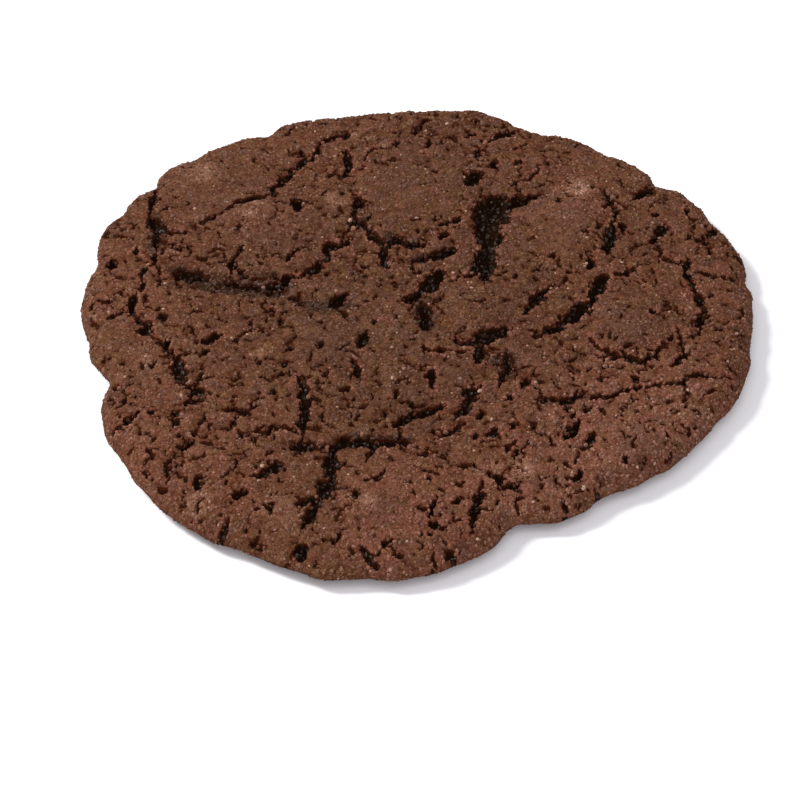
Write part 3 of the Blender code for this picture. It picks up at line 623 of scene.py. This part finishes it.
def crack_clearance(x, y, cracks):
    """Distance from the nearest edge of a crack or pit."""
    across, up = ragged(x, y)
    clear = np.full(len(x), CLEAR_REACH)
    for crack in cracks:
        clear = np.minimum(clear, crack.clearance(across, up))
    for middle_x, middle_y, radius in PITS + FINE_PITS:
        clear = np.minimum(clear, np.hypot(across - middle_x, up - middle_y) - radius)
    return clear


def whole_top(x, y):
    """Height of the top before it cracked."""
    _, out = inset_at(x, y)
    height = SHOULDER_HEIGHT + DOME_RISE * np.sqrt(np.clip(1 - out**DOME_POWER, 0, 1))
    for middle_x, middle_y, radius, rise in MOUNDS:
        share = np.hypot(x - middle_x, y - middle_y) / radius
        height = height + rise * np.clip(1 - share**2, 0, 1) ** 2
    for rise, wave_x, wave_y, phase in WAVES:
        height = height + rise * np.sin(wave_x * x + wave_y * y + phase)
    for width, depth, points in TROUGHS:
        height = height - Groove(width, depth, points).cut(x, y, TROUGH_POWER)
    return height


def top_height(x, y, depth, lip):
    inset, _ = inset_at(x, y)
    whole = RIM_HEIGHT + (whole_top(x, y) - lip - RIM_HEIGHT) * quarter_round(inset, SHOULDER_RUN)
    floor = under_height(x, y) + FLOOR_LEFT
    return np.maximum(whole - depth, np.minimum(floor, whole))


def patch_strength(x, y, patches):
    strength = np.zeros(len(x))
    for middle_x, middle_y, radius, most in patches:
        share = np.hypot(x - middle_x, y - middle_y) / radius
        strength = np.maximum(strength, most * np.clip(1 - share**2, 0, 1))
    return strength


# Mesh of the body

def grid_points(step, chance, stray):
    """A field of points in staggered rows over the cookie's box, each straying a share of the step."""
    row_step = step * math.sqrt(3) / 2
    rows = np.arange(-int(FIELD_REACH / row_step), int(FIELD_REACH / row_step) + 1)
    columns = np.arange(-int(FIELD_REACH / step), int(FIELD_REACH / step) + 1)
    column, row = np.meshgrid(columns, rows)
    x = (column + 0.5 * (row % 2)).ravel() * step
    y = row.ravel() * row_step
    shift = chance.uniform(-stray, stray, (2, len(x))) * step
    return x + shift[0], y + shift[1]


def inside_any(cracks, x, y, widen):
    """Whether each place lies in a crack, made wider or narrower by a factor."""
    across, up = ragged(x, y)
    found = np.zeros(len(x), dtype=bool)
    for crack in cracks:
        found |= crack.cut(across, up, 1.0, widen) > 0
    return found


def top_points(chance, cracks):
    """Points of the top inside its rim: rows along the cracks, a field in the wide ones and one between."""
    rows = []
    for crack in cracks:
        rows += crack.rows(WIDE_SHARES if crack.half.max() > WIDE_HALF else NARROW_SHARES)
    rows = np.concatenate(rows)
    # The raggedness moves what is cut at these rows, so they go the other way.
    rows = 2 * rows - np.stack(ragged(rows[:, 0], rows[:, 1]), axis=1)

    wide = [crack for crack in cracks if crack.half.max() > WIDE_HALF]
    x, y = grid_points(CRACK_FINE_STEP, chance, STRAY)
    fine = inside_any(wide, x, y, WIDE_FLOOR)
    for middle_x, middle_y, radius in PITS + FINE_PITS:
        fine |= np.hypot(x - middle_x, y - middle_y) < radius + PIT_CLEAR
    in_cracks = np.stack([x[fine], y[fine]], axis=1)
    x, y = grid_points(FINE_STEP, chance, STRAY)
    clear = ~inside_any(cracks, x, y, FIELD_CLEAR)
    between = np.stack([x[clear], y[clear]], axis=1)

    places = np.concatenate([rows, in_cracks, between])
    places = places[inset_at(places[:, 0], places[:, 1])[0] > TOP_INSETS[-1] + TOP_CLEAR]
    _, first = np.unique(np.round(places / CLOSEST), axis=0, return_index=True)
    return places[np.sort(first)]


def plan_triangles(rings, points):
    """Joins rings of points, outermost first, and the points inside them."""
    count = len(rings[0])
    flat = [Vector(place) for place in np.concatenate(list(rings) + [points])]
    result = geometry.delaunay_2d_cdt(flat, [], [list(range(count))], 1, MERGE_REACH)
    return np.array([tuple(point) for point in result[0]]), np.array(result[2])


def facing(places, triangles, up):
    """Triangles turned so that they face up, or down."""
    corner = places[triangles]
    edge = corner[:, 1:] - corner[:, :1]
    area = edge[:, 0, 0] * edge[:, 1, 1] - edge[:, 0, 1] * edge[:, 1, 0]
    turned = area < 0 if up else area > 0
    triangles = triangles.copy()
    triangles[turned] = triangles[turned][:, ::-1]
    return triangles


def cookie_mesh():
    """The body as one closed mesh."""
    chance = np.random.default_rng(SEED)
    cracks = all_cracks()
    count = int(2 * math.pi * MEAN_RADIUS / RIM_STEP)
    rim = ring(0.0, count)
    top_rings = [rim] + [ring(inset, count) for inset in TOP_INSETS]
    top, top_faces = plan_triangles(top_rings, top_points(chance, cracks))
    depth, lip = crack_cut(top[:, 0], top[:, 1], cracks)
    height = top_height(top[:, 0], top[:, 1], depth, lip)
    height[:count] = RIM_HEIGHT

    under_x, under_y = grid_points(UNDER_STEP, chance, STRAY)
    inside = inset_at(under_x, under_y)[0] > UNDER_INSETS[-1] + UNDER_CLEAR
    under_rings = [rim] + [ring(inset, count) for inset in UNDER_INSETS]
    spread = np.stack([under_x[inside], under_y[inside]], axis=1)
    under, under_faces = plan_triangles(under_rings, spread)
    lift = under_height(under[:, 0], under[:, 1])

    # The rim's points are shared: the underside's own points follow the top's.
    top_faces = facing(top, top_faces, True)
    under_faces = facing(under, under_faces, False)
    under_faces = np.where(under_faces < count, under_faces, under_faces - count + len(top))
    places = np.concatenate([top, under[count:]])
    heights = np.concatenate([height, lift[count:]])
    middle = box_middle()
    corners = np.column_stack([places - middle, heights]) * METRES

    mesh = bpy.data.meshes.new("cookie_body")
    mesh.from_pydata(corners.tolist(), [], np.concatenate([top_faces, under_faces]).tolist())
    mesh.shade_smooth()
    write_values(mesh, top, depth, lift[count:], cracks)
    return mesh


def write_values(mesh, top, depth, lift, cracks):
    """Gives the body's points what its finish needs: those of the top come first, then the underside's."""
    x = top[:, 0]
    y = top[:, 1]
    none = np.zeros(len(lift))
    smooth = np.clip(1 - inset_at(x, y)[0] / SMOOTH_RIM, 0, 1)
    smooth = np.maximum(smooth, patch_strength(x, y, SMOOTH_PATCHES))
    charred = np.zeros(len(top))
    across, up = ragged(x, y)
    for width, points in CHARRED:
        charred = np.maximum(charred, Groove(width, 1.0, points).cut(across, up, CHARRED_POWER))
    values = {
        "charred": (charred, none),
        "crack_depth": (depth, none),
        "crack_clear": (crack_clearance(x, y, cracks), none + CLEAR_REACH),
        "wide_clear": (crack_clearance(x, y, named_cracks()), none + CLEAR_REACH),
        **{name: (patch_strength(x, y, patches), none) for name, patches in PATCHES.items()},
        "smooth_skin": (smooth, none + 1),
        "flat_under": (np.zeros(len(top)), np.clip(1 - lift / UNDER_SKIN, 0, 1)),
    }
    for name, parts in values.items():
        attribute = mesh.attributes.new(name, "FLOAT", "POINT")
        attribute.data.foreach_set("value", np.concatenate(parts).astype(np.float32))


# Node maths

GREEN_POWER = 1.35      # how much faster than its red a dough's green and blue change with its brightness
BLUE_POWER = 1.65


class Wire:
    """A number or vector in a node tree. Python's operators on it add Math nodes."""

    def __init__(self, board, socket):
        self.board = board
        self.socket = socket

    def maths(self, operation, *values):
        return self.board.add("ShaderNodeMath", {"operation": operation}, list(values))

    def __add__(self, other):
        return self.maths("ADD", self, other)

    def __sub__(self, other):
        return self.maths("SUBTRACT", self, other)

    def __mul__(self, other):
        return self.maths("MULTIPLY", self, other)

    def __pow__(self, other):
        return self.maths("POWER", self, other)

    def __rsub__(self, other):
        return self.maths("SUBTRACT", other, self)

    def __gt__(self, other):
        return self.maths("GREATER_THAN", self, other)

    def __lt__(self, other):
        return self.maths("LESS_THAN", self, other)

    __radd__ = __add__
    __rmul__ = __mul__

    def between(self, low, high, bottom=0.0, top=1.0):
        """Goes smoothly from bottom to top as the value goes from low to high."""
        sockets = {"Value": self, "From Min": low, "From Max": high, "To Min": bottom, "To Max": top}
        return self.board.add("ShaderNodeMapRange", {"interpolation_type": "SMOOTHSTEP"}, sockets)


class Board:
    """A node tree under construction."""

    def __init__(self, tree):
        self.tree = tree
        self.tree.nodes.clear()

    def add(self, kind, settings=None, sockets=None, output=0):
        """Adds a node: its settings come first, then the values or wires of its inputs."""
        node = self.tree.nodes.new(kind)
        for name, value in (settings or {}).items():
            if name == "stops":
                self.set_stops(node.color_ramp, value)
            else:
                setattr(node, name, value)
        named = sockets.items() if isinstance(sockets, dict) else enumerate(sockets or [])
        for name, value in named:
            if isinstance(value, Wire):
                self.tree.links.new(value.socket, node.inputs[name])
            else:
                node.inputs[name].default_value = value
        return Wire(self, node.outputs[output]) if len(node.outputs) else node

    def set_stops(self, ramp, stops):
        while len(ramp.elements) < len(stops):
            ramp.elements.new(0.5)
        for element, (position, colour) in zip(ramp.elements, stops):
            element.position = position
            element.color = colour

    def toned(self, colour, level):
        """Lightens or darkens a dough colour, which gets greyer in the light and redder in the dark."""
        light = self.add("ShaderNodeCombineColor", {}, [level, level**GREEN_POWER, level**BLUE_POWER])
        return self.blend(1.0, colour, light, "MULTIPLY")

    def scaled(self, vector, factor):
        return self.add("ShaderNodeVectorMath", {"operation": "SCALE"}, {0: vector, "Scale": factor})

    def shifted(self, vector, other):
        return self.add("ShaderNodeVectorMath", {"operation": "ADD"}, [vector, other])

    def lumps(self, vector, scale, detail=2.0, output=0, dimensions="3D", roughness=0.5):
        return self.add("ShaderNodeTexNoise", {"noise_dimensions": dimensions},
                        {"Vector": vector, "Scale": scale, "Detail": detail, "Roughness": roughness}, output)

    def cells(self, vector, scale, feature="F1", output=0, dimensions="3D"):
        return self.add("ShaderNodeTexVoronoi", {"feature": feature, "voronoi_dimensions": dimensions},
                        {"Vector": vector, "Scale": scale}, output)

    def bent(self, vector, reach, dimensions):
        """Places moved a little by smooth noise, so that the cells drawn there aren't too regular."""
        bend = self.lumps(vector, 1.3, 2.0, 1, dimensions)
        bend = self.add("ShaderNodeVectorMath", {"operation": "SUBTRACT"}, [bend, (0.5, 0.5, 0.5)])
        return self.shifted(vector, self.scaled(bend, reach))

    def blend(self, share, first, second, kind="MIX"):
        mix = self.add("ShaderNodeMix", {"data_type": "RGBA", "blend_type": kind}, {0: share}, 2)
        node = mix.socket.node
        for socket, value in ((node.inputs[6], first), (node.inputs[7], second)):
            if isinstance(value, Wire):
                self.tree.links.new(value.socket, socket)
            else:
                socket.default_value = value
        return mix


# Fine patterns that the relief and the finish share, in millimetres

CREASED_LUMPS = 0.62    # lumps of crumb for each millimetre


def pits(board, place):
    """1 in small ragged holes scattered over the dough."""
    return board.lumps(place, 1.8, 3.0, roughness=0.6).between(0.67, 0.75)


def clusters(board, place):
    """Height of crumbs that baked together into lumps, with creases between them, about 0 to 1."""
    return 1 - board.cells(board.bent(place, 1.1, "3D"), 0.60) * 1.25


def creases(board, place, smooth):
    """Millimetres from the creases between lumps of crumb, and far more where the skin is whole."""
    edge = board.cells(board.bent(place, 1.0, "2D"), CREASED_LUMPS, "DISTANCE_TO_EDGE", dimensions="2D")
    whole = board.lumps(place, 0.28, dimensions="2D").between(0.58, 0.46)
    return edge * (1 / CREASED_LUMPS) + whole + smooth * 0.5


def named_value(board, name):
    return board.add("GeometryNodeInputNamedAttribute", {"data_type": "FLOAT"}, {"Name": name})


def stored(board, points, name, value):
    return board.add("GeometryNodeStoreNamedAttribute", {"data_type": "FLOAT", "domain": "POINT"},
                     {"Geometry": points, "Name": name, "Value": value})


def start_group(name, numbers, finished=False):
    """A group of geometry nodes for the body: the group, its board and the wires of its inputs by name."""
    tree = bpy.data.node_groups.new(name, "GeometryNodeTree")
    board = Board(tree)
    tree.interface.new_socket("Body", in_out="INPUT", socket_type="NodeSocketGeometry")
    for number in numbers:
        tree.interface.new_socket(number, in_out="INPUT", socket_type="NodeSocketFloat")
    if finished:
        tree.interface.new_socket("Finish", in_out="INPUT", socket_type="NodeSocketMaterial")
    tree.interface.new_socket("Body", in_out="OUTPUT", socket_type="NodeSocketGeometry")
    start = tree.nodes.new("NodeGroupInput")
    given = {socket.name: Wire(board, socket) for socket in start.outputs if socket.name}
    return tree, board, given


# Relief of the dough

RELIEF = {"Lump Height": 0.12, "Cluster Height": 0.20, "Grain Height": 0.12, "Pit Depth": 0.26,
          "Crease Depth": 0.08}


def relief_tree():
    """Moves the body's points along its faces' directions: lumps, grains, pits and creases."""
    tree, board, given = start_group("baked_relief", RELIEF)
    place = board.scaled(board.add("GeometryNodeInputPosition"), MILLIMETRES)
    normal = board.add("GeometryNodeInputNormal")
    smooth = named_value(board, "smooth_skin")
    calm = 1 - smooth * 0.60
    crack = named_value(board, "crack_depth")
    rough = crack.between(0.2, 1.2) * 0.9 + named_value(board, "charred") * 0.7 + 1.0
    lumps = (board.lumps(place, 0.42) - 0.5) * 2.0
    grains = 0.45 - board.cells(place, 1.9)
    rise = lumps * given["Lump Height"] + (clusters(board, place) - 0.55) * given["Cluster Height"] * calm
    rise = (rise + grains * given["Grain Height"] * calm) * rough
    rise = rise - pits(board, place) * given["Pit Depth"] * calm
    rise = rise - creases(board, place, smooth).between(0.25, 0.05) * given["Crease Depth"]
    rise = rise * (1 - named_value(board, "flat_under"))
    offset = board.scaled(normal, rise * METRES)
    moved = board.add("GeometryNodeSetPosition", {}, {"Geometry": given["Body"], "Offset": offset})
    board.add("NodeGroupOutput", {}, [stored(board, moved, "relief", rise)])
    return tree


# Loose and baked-on grains

# Each kind: name, number for each square centimetre, radius, least and most size, how far it is sunk in,
# least and most crack depth where it lies, least distance from a crack's edge, whether it has only eight
# faces, seed
GRAINS = [
    ("grains_small", 235.0, 0.21, 0.7, 1.3, 0.40, -1.0, 0.16, 0.07, True, 13),
    ("grains_middling", 92.0, 0.27, 0.8, 1.2, 0.45, -1.0, 0.12, 0.12, False, 5),
    ("grains_large", 92.0, 0.32, 0.8, 1.2, 0.50, -1.0, 0.12, 0.16, False, 3),
    ("grains_coarse", 45.0, 0.38, 0.8, 1.2, 0.55, -1.0, 0.12, 0.20, False, 7),
    ("crumbs_on_lips", 70.0, 0.34, 0.6, 1.4, 0.45, 0.30, 1.1, -9.0, False, 11),
    ("grains_in_cracks", 200.0, 0.30, 0.7, 1.5, 0.45, 0.70, 9.0, -9.0, False, 9),
]
GRAIN_NUMBERS = ("Density", "Radius", "Smallest", "Largest", "Sunk", "Shallowest", "Deepest", "Clear")
PER_SQUARE_METRE = 1e4  # square centimetres in one
OPEN_FACE = 0.65        # how far from the underside's skin a face is that grains lie on, from 0 to 1
CREASE_SHARE = 0.4      # least distance from a crease, as a share of that from a crack's edge
CREASE_CLEAR = 0.02     # and more of it, in millimetres
TURNS = ((0.0, 0.0, 0.0), (6.28, 6.28, 6.28))
SQUASHES = ((0.7, 0.7, 0.5), (1.25, 1.25, 1.0))    # least and most size along each of a grain's own axes


def random_value(board, kind, least, most, seed):
    output = 1 if kind == "FLOAT" else 0
    sockets = {"Min": least, "Max": most, "Seed": seed}
    return board.add("FunctionNodeRandomValue", {"data_type": kind}, sockets, output)


def grain_tree(name, seed, faceted):
    """Scatters rough grains over the body's baked faces, where its cracks are as deep as asked."""
    tree, board, given = start_group(name, GRAIN_NUMBERS, True)
    crack = named_value(board, "crack_depth")
    open_face = 1 - named_value(board, "flat_under")
    where = (open_face > OPEN_FACE) * (crack > given["Shallowest"]) * (crack < given["Deepest"])
    where = where * (named_value(board, "crack_clear") > given["Clear"])
    scatter = board.add("GeometryNodeDistributePointsOnFaces", {"distribute_method": "RANDOM"},
                        {"Mesh": given["Body"], "Density": where * given["Density"], "Seed": seed})
    normal = Wire(board, scatter.socket.node.outputs["Normal"])
    place = board.scaled(board.add("GeometryNodeInputPosition"), MILLIMETRES)
    crease = creases(board, place, named_value(board, "smooth_skin"))
    creased = crease < given["Clear"] * CREASE_SHARE + CREASE_CLEAR
    scatter = board.add("GeometryNodeDeleteGeometry", {"domain": "POINT"}, [scatter, creased])
    turn = random_value(board, "FLOAT_VECTOR", *TURNS, seed + 1)
    tint = random_value(board, "FLOAT", 0.0, 1.0, seed + 2)
    size = random_value(board, "FLOAT", given["Smallest"], given["Largest"], seed + 3)
    squash = random_value(board, "FLOAT_VECTOR", *SQUASHES, seed + 4)
    points = stored(board, scatter, "tint", tint)
    sunk = board.scaled(normal, given["Radius"] * given["Sunk"] * -1.0)
    points = board.add("GeometryNodeSetPosition", {}, {"Geometry": points, "Offset": sunk})
    if faceted:
        sockets = {"Segments": 4, "Rings": 2, "Radius": given["Radius"]}
        lump = board.add("GeometryNodeMeshUVSphere", {}, sockets)
    else:
        lump = board.add("GeometryNodeMeshIcoSphere", {}, {"Radius": given["Radius"], "Subdivisions": 1})
    grains = board.add("GeometryNodeInstanceOnPoints", {}, {
        "Points": points, "Instance": lump, "Rotation": turn, "Scale": board.scaled(squash, size)})
    grains = board.add("GeometryNodeRealizeInstances", {}, {"Geometry": grains})
    grains = board.add("GeometryNodeSetMaterial", {}, {"Geometry": grains, "Material": given["Finish"]})
    board.add("NodeGroupOutput", {}, [grains])
    return tree


def make_grains(body):
    finish = grain_finish()
    made = []
    for name, *numbers, faceted, seed in GRAINS:
        values = dict(zip(GRAIN_NUMBERS, numbers), Finish=finish)
        values["Density"] *= PER_SQUARE_METRE
        values["Radius"] *= METRES
        made.append(plain_mesh(body, grain_tree(name, seed, faceted), values, name))
    return made


def plain_mesh(thing, tree, sizes, name):
    """Runs a node tree on a thing, which stays as it was. Gives the result as an object of plain mesh."""
    modifier = thing.modifiers.new(tree.name, "NODES")
    modifier.node_group = tree
    for socket in tree.interface.items_tree:
        if socket.in_out == "INPUT" and socket.name in sizes:
            modifier[socket.identifier] = sizes[socket.name]
    bpy.context.view_layer.update()
    evaluated = thing.evaluated_get(bpy.context.evaluated_depsgraph_get())
    mesh = bpy.data.meshes.new_from_object(evaluated)
    mesh.name = name
    thing.modifiers.remove(modifier)
    made = bpy.data.objects.new(name, mesh)
    bpy.context.scene.collection.objects.link(made)
    return made


def make_body():
    start = bpy.data.objects.new("cookie_start", cookie_mesh())
    bpy.context.scene.collection.objects.link(start)
    body = plain_mesh(start, relief_tree(), RELIEF, "cookie_body")
    bpy.data.objects.remove(start, do_unlink=True)
    body.data.materials.clear()
    body.data.materials.append(baked_dough())
    body.data.shade_smooth()
    return body


# Finishes

DOUGH = (0.127, 0.0560, 0.0325, 1.0)
DOUGH_WARM = (0.139, 0.0560, 0.0315, 1.0)
DOUGH_GOLD = (0.137, 0.0685, 0.0320, 1.0)
DOUGH_YELLOW = (0.092, 0.0430, 0.0260, 1.0)
# Rosy dough, which over the rosy patches also stands for painted light
ROSY_DOUGH_AND_LIGHT = (0.206, 0.0830, 0.0550, 1.0)
# Painted shade on the rim's lower side, which also darkens the underside
SIDE_SHADE_AND_UNDERSIDE = (0.078, 0.027, 0.0145, 1.0)
DOUGH_GREY = (0.113, 0.057, 0.0410, 1.0)
# Colour of the painted highlights
PAINTED_SHEEN = (0.36, 0.20, 0.14, 1.0)
# Dark crumb, and the colour of painted shade in hollows, pores, creases and on crack walls
DARK_CRUMB_AND_SHADE = (0.034, 0.007, 0.002, 1.0)
# Near black of the crack floors: darker inner crumb with painted shade; the char uses it too
CRACK_BLACK = (0.014, 0.005, 0.002, 1.0)
SUGAR = (0.44, 0.27, 0.20, 1.0)
CHAR = (0.060, 0.040, 0.031, 1.0)
# Broad changes of tone, the rosy patches among them partly painted light: pattern, its values where the tone
# starts and is at its most, that share, colour
TONES = [
    ("broad", 0.40, 0.62, 0.5, DOUGH_WARM), ("yellow_patch", 0.0, 0.8, 0.7, DOUGH_YELLOW),
    ("rosy_patch", 0.0, 0.9, 0.65, ROSY_DOUGH_AND_LIGHT), ("golden", 0.46, 0.64, 0.75, DOUGH_GOLD),
    ("reddish", 0.52, 0.66, 0.45, ROSY_DOUGH_AND_LIGHT), ("middling", 0.50, 0.66, 0.65, DOUGH_GREY),
]
# Colours of the grains on the lips of cracks and in them, from the darkest grain to the lightest: darker
# inner crumb with painted shade, since they lie in the cracks
LIP_GRAIN_STOPS = [
    (0.0, (0.012, 0.003, 0.001, 1.0)), (0.6, (0.040, 0.013, 0.005, 1.0)), (1.0, (0.160, 0.058, 0.034, 1.0)),
]
CRACK_GRAIN_STOPS = [
    (0.0, (0.015, 0.007, 0.004, 1.0)), (0.6, (0.044, 0.029, 0.022, 1.0)), (1.0, (0.110, 0.080, 0.068, 1.0)),
]


def shader_value(board, name):
    return board.add("ShaderNodeAttribute", {"attribute_name": name}, None, "Fac")


def new_finish(name):
    """A new material, its board and places on the cookie in millimetres."""
    material = bpy.data.materials.new(name)
    material.use_nodes = True
    board = Board(material.node_tree)
    coordinates = board.add("ShaderNodeTexCoord", {}, None, "Object")
    return material, board, board.scaled(coordinates, MILLIMETRES)


def baked_tone(board, place, colour):
    """A dough colour with the cookie's broad changes of tone laid over it, and painted highlights, painted
    light in the rosy patches and painted shade low on the rim.
    """
    broad = board.lumps(place, 0.09, 3.0)
    middling = board.lumps(place, 0.50, 3.0)
    patterns = {
        "broad": broad,
        "golden": board.lumps(board.shifted(place, (37.0, 11.0, 5.0)), 0.55, 3.0),
        "reddish": board.lumps(board.shifted(place, (11.0, 43.0, 19.0)), 0.75, 3.0),
        "middling": middling,
        **{name: shader_value(board, name) for name in PATCHES},
    }
    for pattern, low, high, most, tone in TONES:
        colour = board.blend(patterns[pattern].between(low, high, 0.0, most), colour, tone)
    lip = shader_value(board, "wide_clear").between(0.9, 0.2) * broad.between(0.42, 0.56)
    colour = board.blend(lip * 0.7, colour, ROSY_DOUGH_AND_LIGHT)
    colour = board.blend(patterns["grey_patch"] * 0.55, colour, DOUGH_GREY)
    # Painted highlights: pale sheen over the sheen patches, broken up by noise
    sheen_share = patterns["pale_patch"] * middling.between(0.30, 0.60)
    colour = board.blend(sheen_share * 0.75, colour, PAINTED_SHEEN)
    # Painted shade on the lower side of the rim, darker further down, and a darker underside
    height = board.add("ShaderNodeSeparateXYZ", {}, [place], 2)
    return board.blend(height.between(3.4, 1.4) * 0.65, colour, SIDE_SHADE_AND_UNDERSIDE)


def ragged_depth(board, place):
    """Depth of the cracks, with the broken edge that their colour and painted shade have."""
    return shader_value(board, "crack_depth") + (board.lumps(place, 2.6) - 0.5) * 0.24


def pores(board, place):
    """1 in small pores of the skin, which the finish paints dark as shade."""
    return board.lumps(place, 2.7, roughness=0.6).between(0.620, 0.655)


def with_char(board, colour, share, level):
    """A colour with black and grey char over the charred dough, where share says."""
    share = shader_value(board, "charred") * share
    return board.blend(share * 0.95, colour, board.blend(level, CRACK_BLACK, CHAR))


def with_hollow_shade(board, place, colour, high, low, most):
    """A colour with painted shade in the hollows of the relief, the pores and the creases."""
    relief = shader_value(board, "relief")
    colour = board.blend(relief.between(high, low) * most, colour, DARK_CRUMB_AND_SHADE)
    colour = board.blend(pores(board, place) * 0.75, colour, DARK_CRUMB_AND_SHADE)
    crease = creases(board, place, shader_value(board, "smooth_skin"))
    return board.blend(crease.between(0.12, 0.03) * 0.50, colour, DARK_CRUMB_AND_SHADE)


def baked_dough():
    material, board, place = new_finish("baked_dough")
    deep = ragged_depth(board, place)
    speck = board.lumps(place, 3.0, 3.0, roughness=0.7)
    grain = board.cells(place, 1.6, output=1)
    shade = board.add("ShaderNodeSeparateXYZ", {}, [grain])
    brightness = shade * 0.31 + speck.between(0.3, 0.7, 0.0, 0.36) + 0.355
    colour = board.toned(baked_tone(board, place, DOUGH), brightness)
    # Painted shade in the hollows of the relief, the pores and the creases
    colour = with_hollow_shade(board, place, colour, -0.04, -0.28, 0.65)
    colour = with_char(board, colour, speck.between(0.32, 0.48), shade.between(0.40, 0.95))
    # Cracks: a darker inner crumb and painted shade, dark on the walls and near black further down
    colour = board.blend(deep.between(0.08, 0.24, 0.0, 0.97), colour, DARK_CRUMB_AND_SHADE)
    colour = board.blend(deep.between(0.35, 0.75), colour, CRACK_BLACK)

    height = board.lumps(place, 3.0) * 0.14 - board.cells(place, 1.6) * 0.20
    bump = board.add("ShaderNodeBump", {}, {"Strength": 1.0, "Distance": METRES, "Height": height})
    surface = board.add("ShaderNodeBsdfPrincipled", {}, {
        "Base Color": colour, "Roughness": 0.9, "Normal": bump, "Specular IOR Level": 0.02})
    board.add("ShaderNodeOutputMaterial", {}, {"Surface": surface})
    return material


def grain_finish():
    material, board, place = new_finish("baked_grain")
    tint = shader_value(board, "tint")
    deep = ragged_depth(board, place)
    colour = board.toned(baked_tone(board, place, DOUGH), tint * 0.60 + 0.73)
    colour = board.blend(tint.between(0.975, 1.0) * 0.8, colour, SUGAR)
    colour = board.blend(tint.between(0.10, 0.04) * 0.8, colour, DARK_CRUMB_AND_SHADE)
    colour = with_char(board, colour, tint.between(0.96, 0.76), tint.between(0.30, 0.80))
    # Painted shade in the hollows of the relief, the pores and the creases
    colour = with_hollow_shade(board, place, colour, -0.10, -0.30, 0.55)
    # Grains on the lips and down in the cracks: darker inner crumb and painted shade, darker the deeper they
    # lie
    on_lip = board.add("ShaderNodeValToRGB", {"stops": LIP_GRAIN_STOPS}, {"Fac": tint})
    colour = board.blend(deep.between(0.16, 0.40), colour, on_lip)
    in_crack = board.add("ShaderNodeValToRGB", {"stops": CRACK_GRAIN_STOPS}, {"Fac": tint})
    colour = board.blend(deep.between(0.70, 1.10), colour, in_crack)
    surface = board.add("ShaderNodeBsdfPrincipled", {}, {
        "Base Color": colour, "Roughness": 0.6, "Specular IOR Level": 0.08})
    board.add("ShaderNodeOutputMaterial", {}, {"Surface": surface})
    return material


# Stage, light and camera

def make_floor():
    mesh = bpy.data.meshes.new("floor")
    corners = [(x * TABLE_HALF, y * TABLE_HALF, 0) for x, y in ((-1, -1), (1, -1), (1, 1), (-1, 1))]
    mesh.from_pydata(corners, [], [(0, 1, 2, 3)])
    floor = bpy.data.objects.new("floor", mesh)
    bpy.context.scene.collection.objects.link(floor)
    material = bpy.data.materials.new("white_table")
    material.use_nodes = True
    shader = material.node_tree.nodes["Principled BSDF"]
    for name, value in TABLE_LOOK.items():
        shader.inputs[name].default_value = value
    mesh.materials.append(material)


def make_light(name, bearing, elevation, distance, size, power, colour):
    """A square soft light that faces the cookie from a bearing and an elevation in degrees."""
    light = bpy.data.lights.new(name, "AREA")
    light.size = size
    light.energy = power
    light.color = colour
    lamp = bpy.data.objects.new(name, light)
    bearing = math.radians(bearing)
    elevation = math.radians(elevation)
    flat = math.cos(elevation)
    away = Vector((flat * math.cos(bearing), flat * math.sin(bearing), math.sin(elevation)))
    lamp.location = away * distance
    lamp.rotation_euler = away.to_track_quat("Z", "Y").to_euler()
    bpy.context.scene.collection.objects.link(lamp)


def make_world():
    world = bpy.data.worlds.new("studio")
    world.use_nodes = True
    background = world.node_tree.nodes["Background"]
    background.inputs["Color"].default_value = WORLD_COLOUR
    background.inputs["Strength"].default_value = WORLD_STRENGTH
    bpy.context.scene.world = world


def make_camera():
    camera = bpy.data.cameras.new("camera")
    camera.sensor_width = SENSOR
    camera.lens = PIXELS_PER_MM * CAMERA_DISTANCE * SENSOR / FRAME_PIXELS
    eye = bpy.data.objects.new("camera", camera)
    tilt = math.radians(CAMERA_ELEVATION)
    middle = box_middle()
    aim = Vector((CAMERA_AIM[0] - middle[0], CAMERA_AIM[1] - middle[1], CAMERA_AIM[2]))
    eye.location = (aim + Vector((0, -math.cos(tilt), math.sin(tilt))) * CAMERA_DISTANCE) * METRES
    eye.rotation_euler = (math.pi / 2 - tilt, 0, 0)
    bpy.context.scene.collection.objects.link(eye)
    bpy.context.scene.camera = eye


def main():
    body = make_body()
    for piece in [body] + make_grains(body):
        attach(piece, "root")
        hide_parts("cookie")
    make_floor()
    for light in LIGHTS:
        make_light(*light)
    make_world()
    make_camera()
    scene = bpy.context.scene
    scene.view_settings.view_transform = "Standard"
    scene.view_settings.look = "None"


main()
